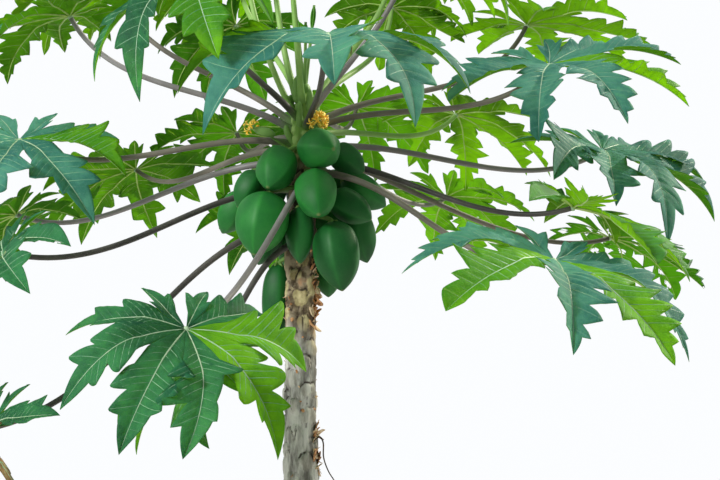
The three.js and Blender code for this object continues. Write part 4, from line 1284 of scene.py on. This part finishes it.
# %% Grow the flowers
# Each cluster: node, azimuth, foot, length, rise, number of blossoms, their size and spread, young fruit.
FLOWERS = [("flowers_front", -61, 1905, 64, 30, 15, 1.2, 15 * MM, False),
           ("flowers_left", -152, 1868, 95, 30, 8, 0.85, 15 * MM, True)]
STEM_RADIUS, STEM_LEAVE, STEM_ARRIVE = 3.2 * MM, 30 * MM, 20 * MM
TWIG_RADIUS, TWIG_BACK, TWIG_ARRIVE = 1.3 * MM, 10 * MM, 6 * MM
SPREADS, LOWEST_BLOSSOM, BLOSSOM_SWEEP, EVERY_THIRD = (0.55, 1.1), -35, 110, 3
FRUIT_ASIDE, FRUIT_BELOW = 25, 15


def grow_flowers(name, azimuth, foot, length, rise, blossoms, size, spread, young_fruit):
    pile, start = Pile(), np.array([trunk_middle(foot * MM), 0, foot * MM])
    out, way = direction(azimuth, rise), direction(azimuth - FRUIT_ASIDE, rise - FRUIT_BELOW)
    end = start + out * (NECK_RADIUS + length * MM)
    path = bezier(start, start + out * STEM_LEAVE, end - out * STEM_ARRIVE, end, 10)
    pile.add(*tube(path, STEM_RADIUS, 10), 0)
    middle = end + way * YOUNG_FRUIT_LONG / 2 if young_fruit else end
    for bud in range(blossoms):
        slope = LOWEST_BLOSSOM + BLOSSOM_SWEEP * (bud + 0.5) / blossoms
        lean = direction(azimuth + SCAR_SPIRAL * bud, slope)
        tip = middle + lean * spread * chance.uniform(*SPREADS)
        path = bezier(middle - out * TWIG_BACK, middle, tip - lean * TWIG_ARRIVE, tip, 6)
        pile.add(*tube(path, TWIG_RADIUS, 8), 0)
        grow = add_bud_on_twig if bud % EVERY_THIRD == 1 else add_blossom
        grow(pile, tip, lean, size)
    if young_fruit:
        add_young_fruit(pile, end, way)
    return pile.piece(f"{name}_dressed", [STALKS["green"], PETAL], "flower", (name,))


for row in FLOWERS:
    grow_flowers(*row)
print("flower clusters:", len(FLOWERS))

# %% [markdown]
# ## Studio
# A pale floor and even light stand in for the garden. The world gives soft light from all sides, a
# large warm lamp behind and to the right lights the leaves through as the low sun does, and a broad
# lamp in front keeps the fruits from going black.

# %% Floor and lights
def floor_finish():
    f = Finish("floor")
    return f.show(f.solid(Base_Color=(0.42, 0.42, 0.41), Roughness=0.9))


FLOOR_WIDE = 13
bpy.ops.mesh.primitive_plane_add(size=FLOOR_WIDE, location=(0, 0, 0))
floor = bpy.context.object
floor.name = "floor"
floor.data.materials.append(floor_finish())
floor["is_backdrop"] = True


def hang_lamp(name, kind, place, aim, power, colour, **shape):
    data = bpy.data.lights.new(name, kind)
    data.energy, data.color = power, colour
    for key, value in shape.items():
        setattr(data, key, value)
    lamp = bpy.data.objects.new(name, data)
    lamp.location = place
    x, y, z = np.array(aim) - np.array(place)
    lamp.rotation_euler = (math.atan2(math.hypot(x, y), -z), 0, math.atan2(y, x) - math.pi / 2)
    bpy.context.scene.collection.objects.link(lamp)


def studio_sky():
    f = Finish("studio", bpy.data.worlds.new("studio"))
    _, away, up = f.parts(f.node("ShaderNodeTexCoord", output="Generated"))
    colour = f.mix(SKY_BEFORE, SKY_BEHIND, f.clamp(away + up * 0.8, -0.7, 0.6))
    glow = f.node("ShaderNodeBackground", inputs={"Color": colour, "Strength": 1.0})
    return f.show(glow, "ShaderNodeOutputWorld")


SKY_BEFORE, SKY_BEHIND = (0.23, 0.245, 0.265), (0.97, 0.985, 1.0)
CROWN_MIDDLE, WARM, COOL = (0, 0, 1.9), (1.0, 0.92, 0.78), (0.98, 0.99, 1.0)
SUN_PLACE, SUN_POWER, SUN_WIDTH = (3.6, 2.0, 4.7), 5.2, math.radians(4)
FRONT_PLACE, FRONT_POWER, FRONT_WIDE = (-3.0, -3.4, 3.5), 230, 1.1
hang_lamp("sun", "SUN", SUN_PLACE, CROWN_MIDDLE, SUN_POWER, WARM, angle=SUN_WIDTH)
hang_lamp("front", "AREA", FRONT_PLACE, CROWN_MIDDLE, FRONT_POWER, COOL, shape="DISK", size=FRONT_WIDE)
bpy.context.scene.world = studio_sky()
bpy.context.scene.view_settings.view_transform = "Standard"
print("lamps:", len(bpy.data.lights), "finishes:", len(bpy.data.materials))

# %% Sizes and the end
sizes = {"cad": CAD_BOX, "visual": [list(corner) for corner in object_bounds()]}
print("box of the dressed plant:", sizes["visual"])
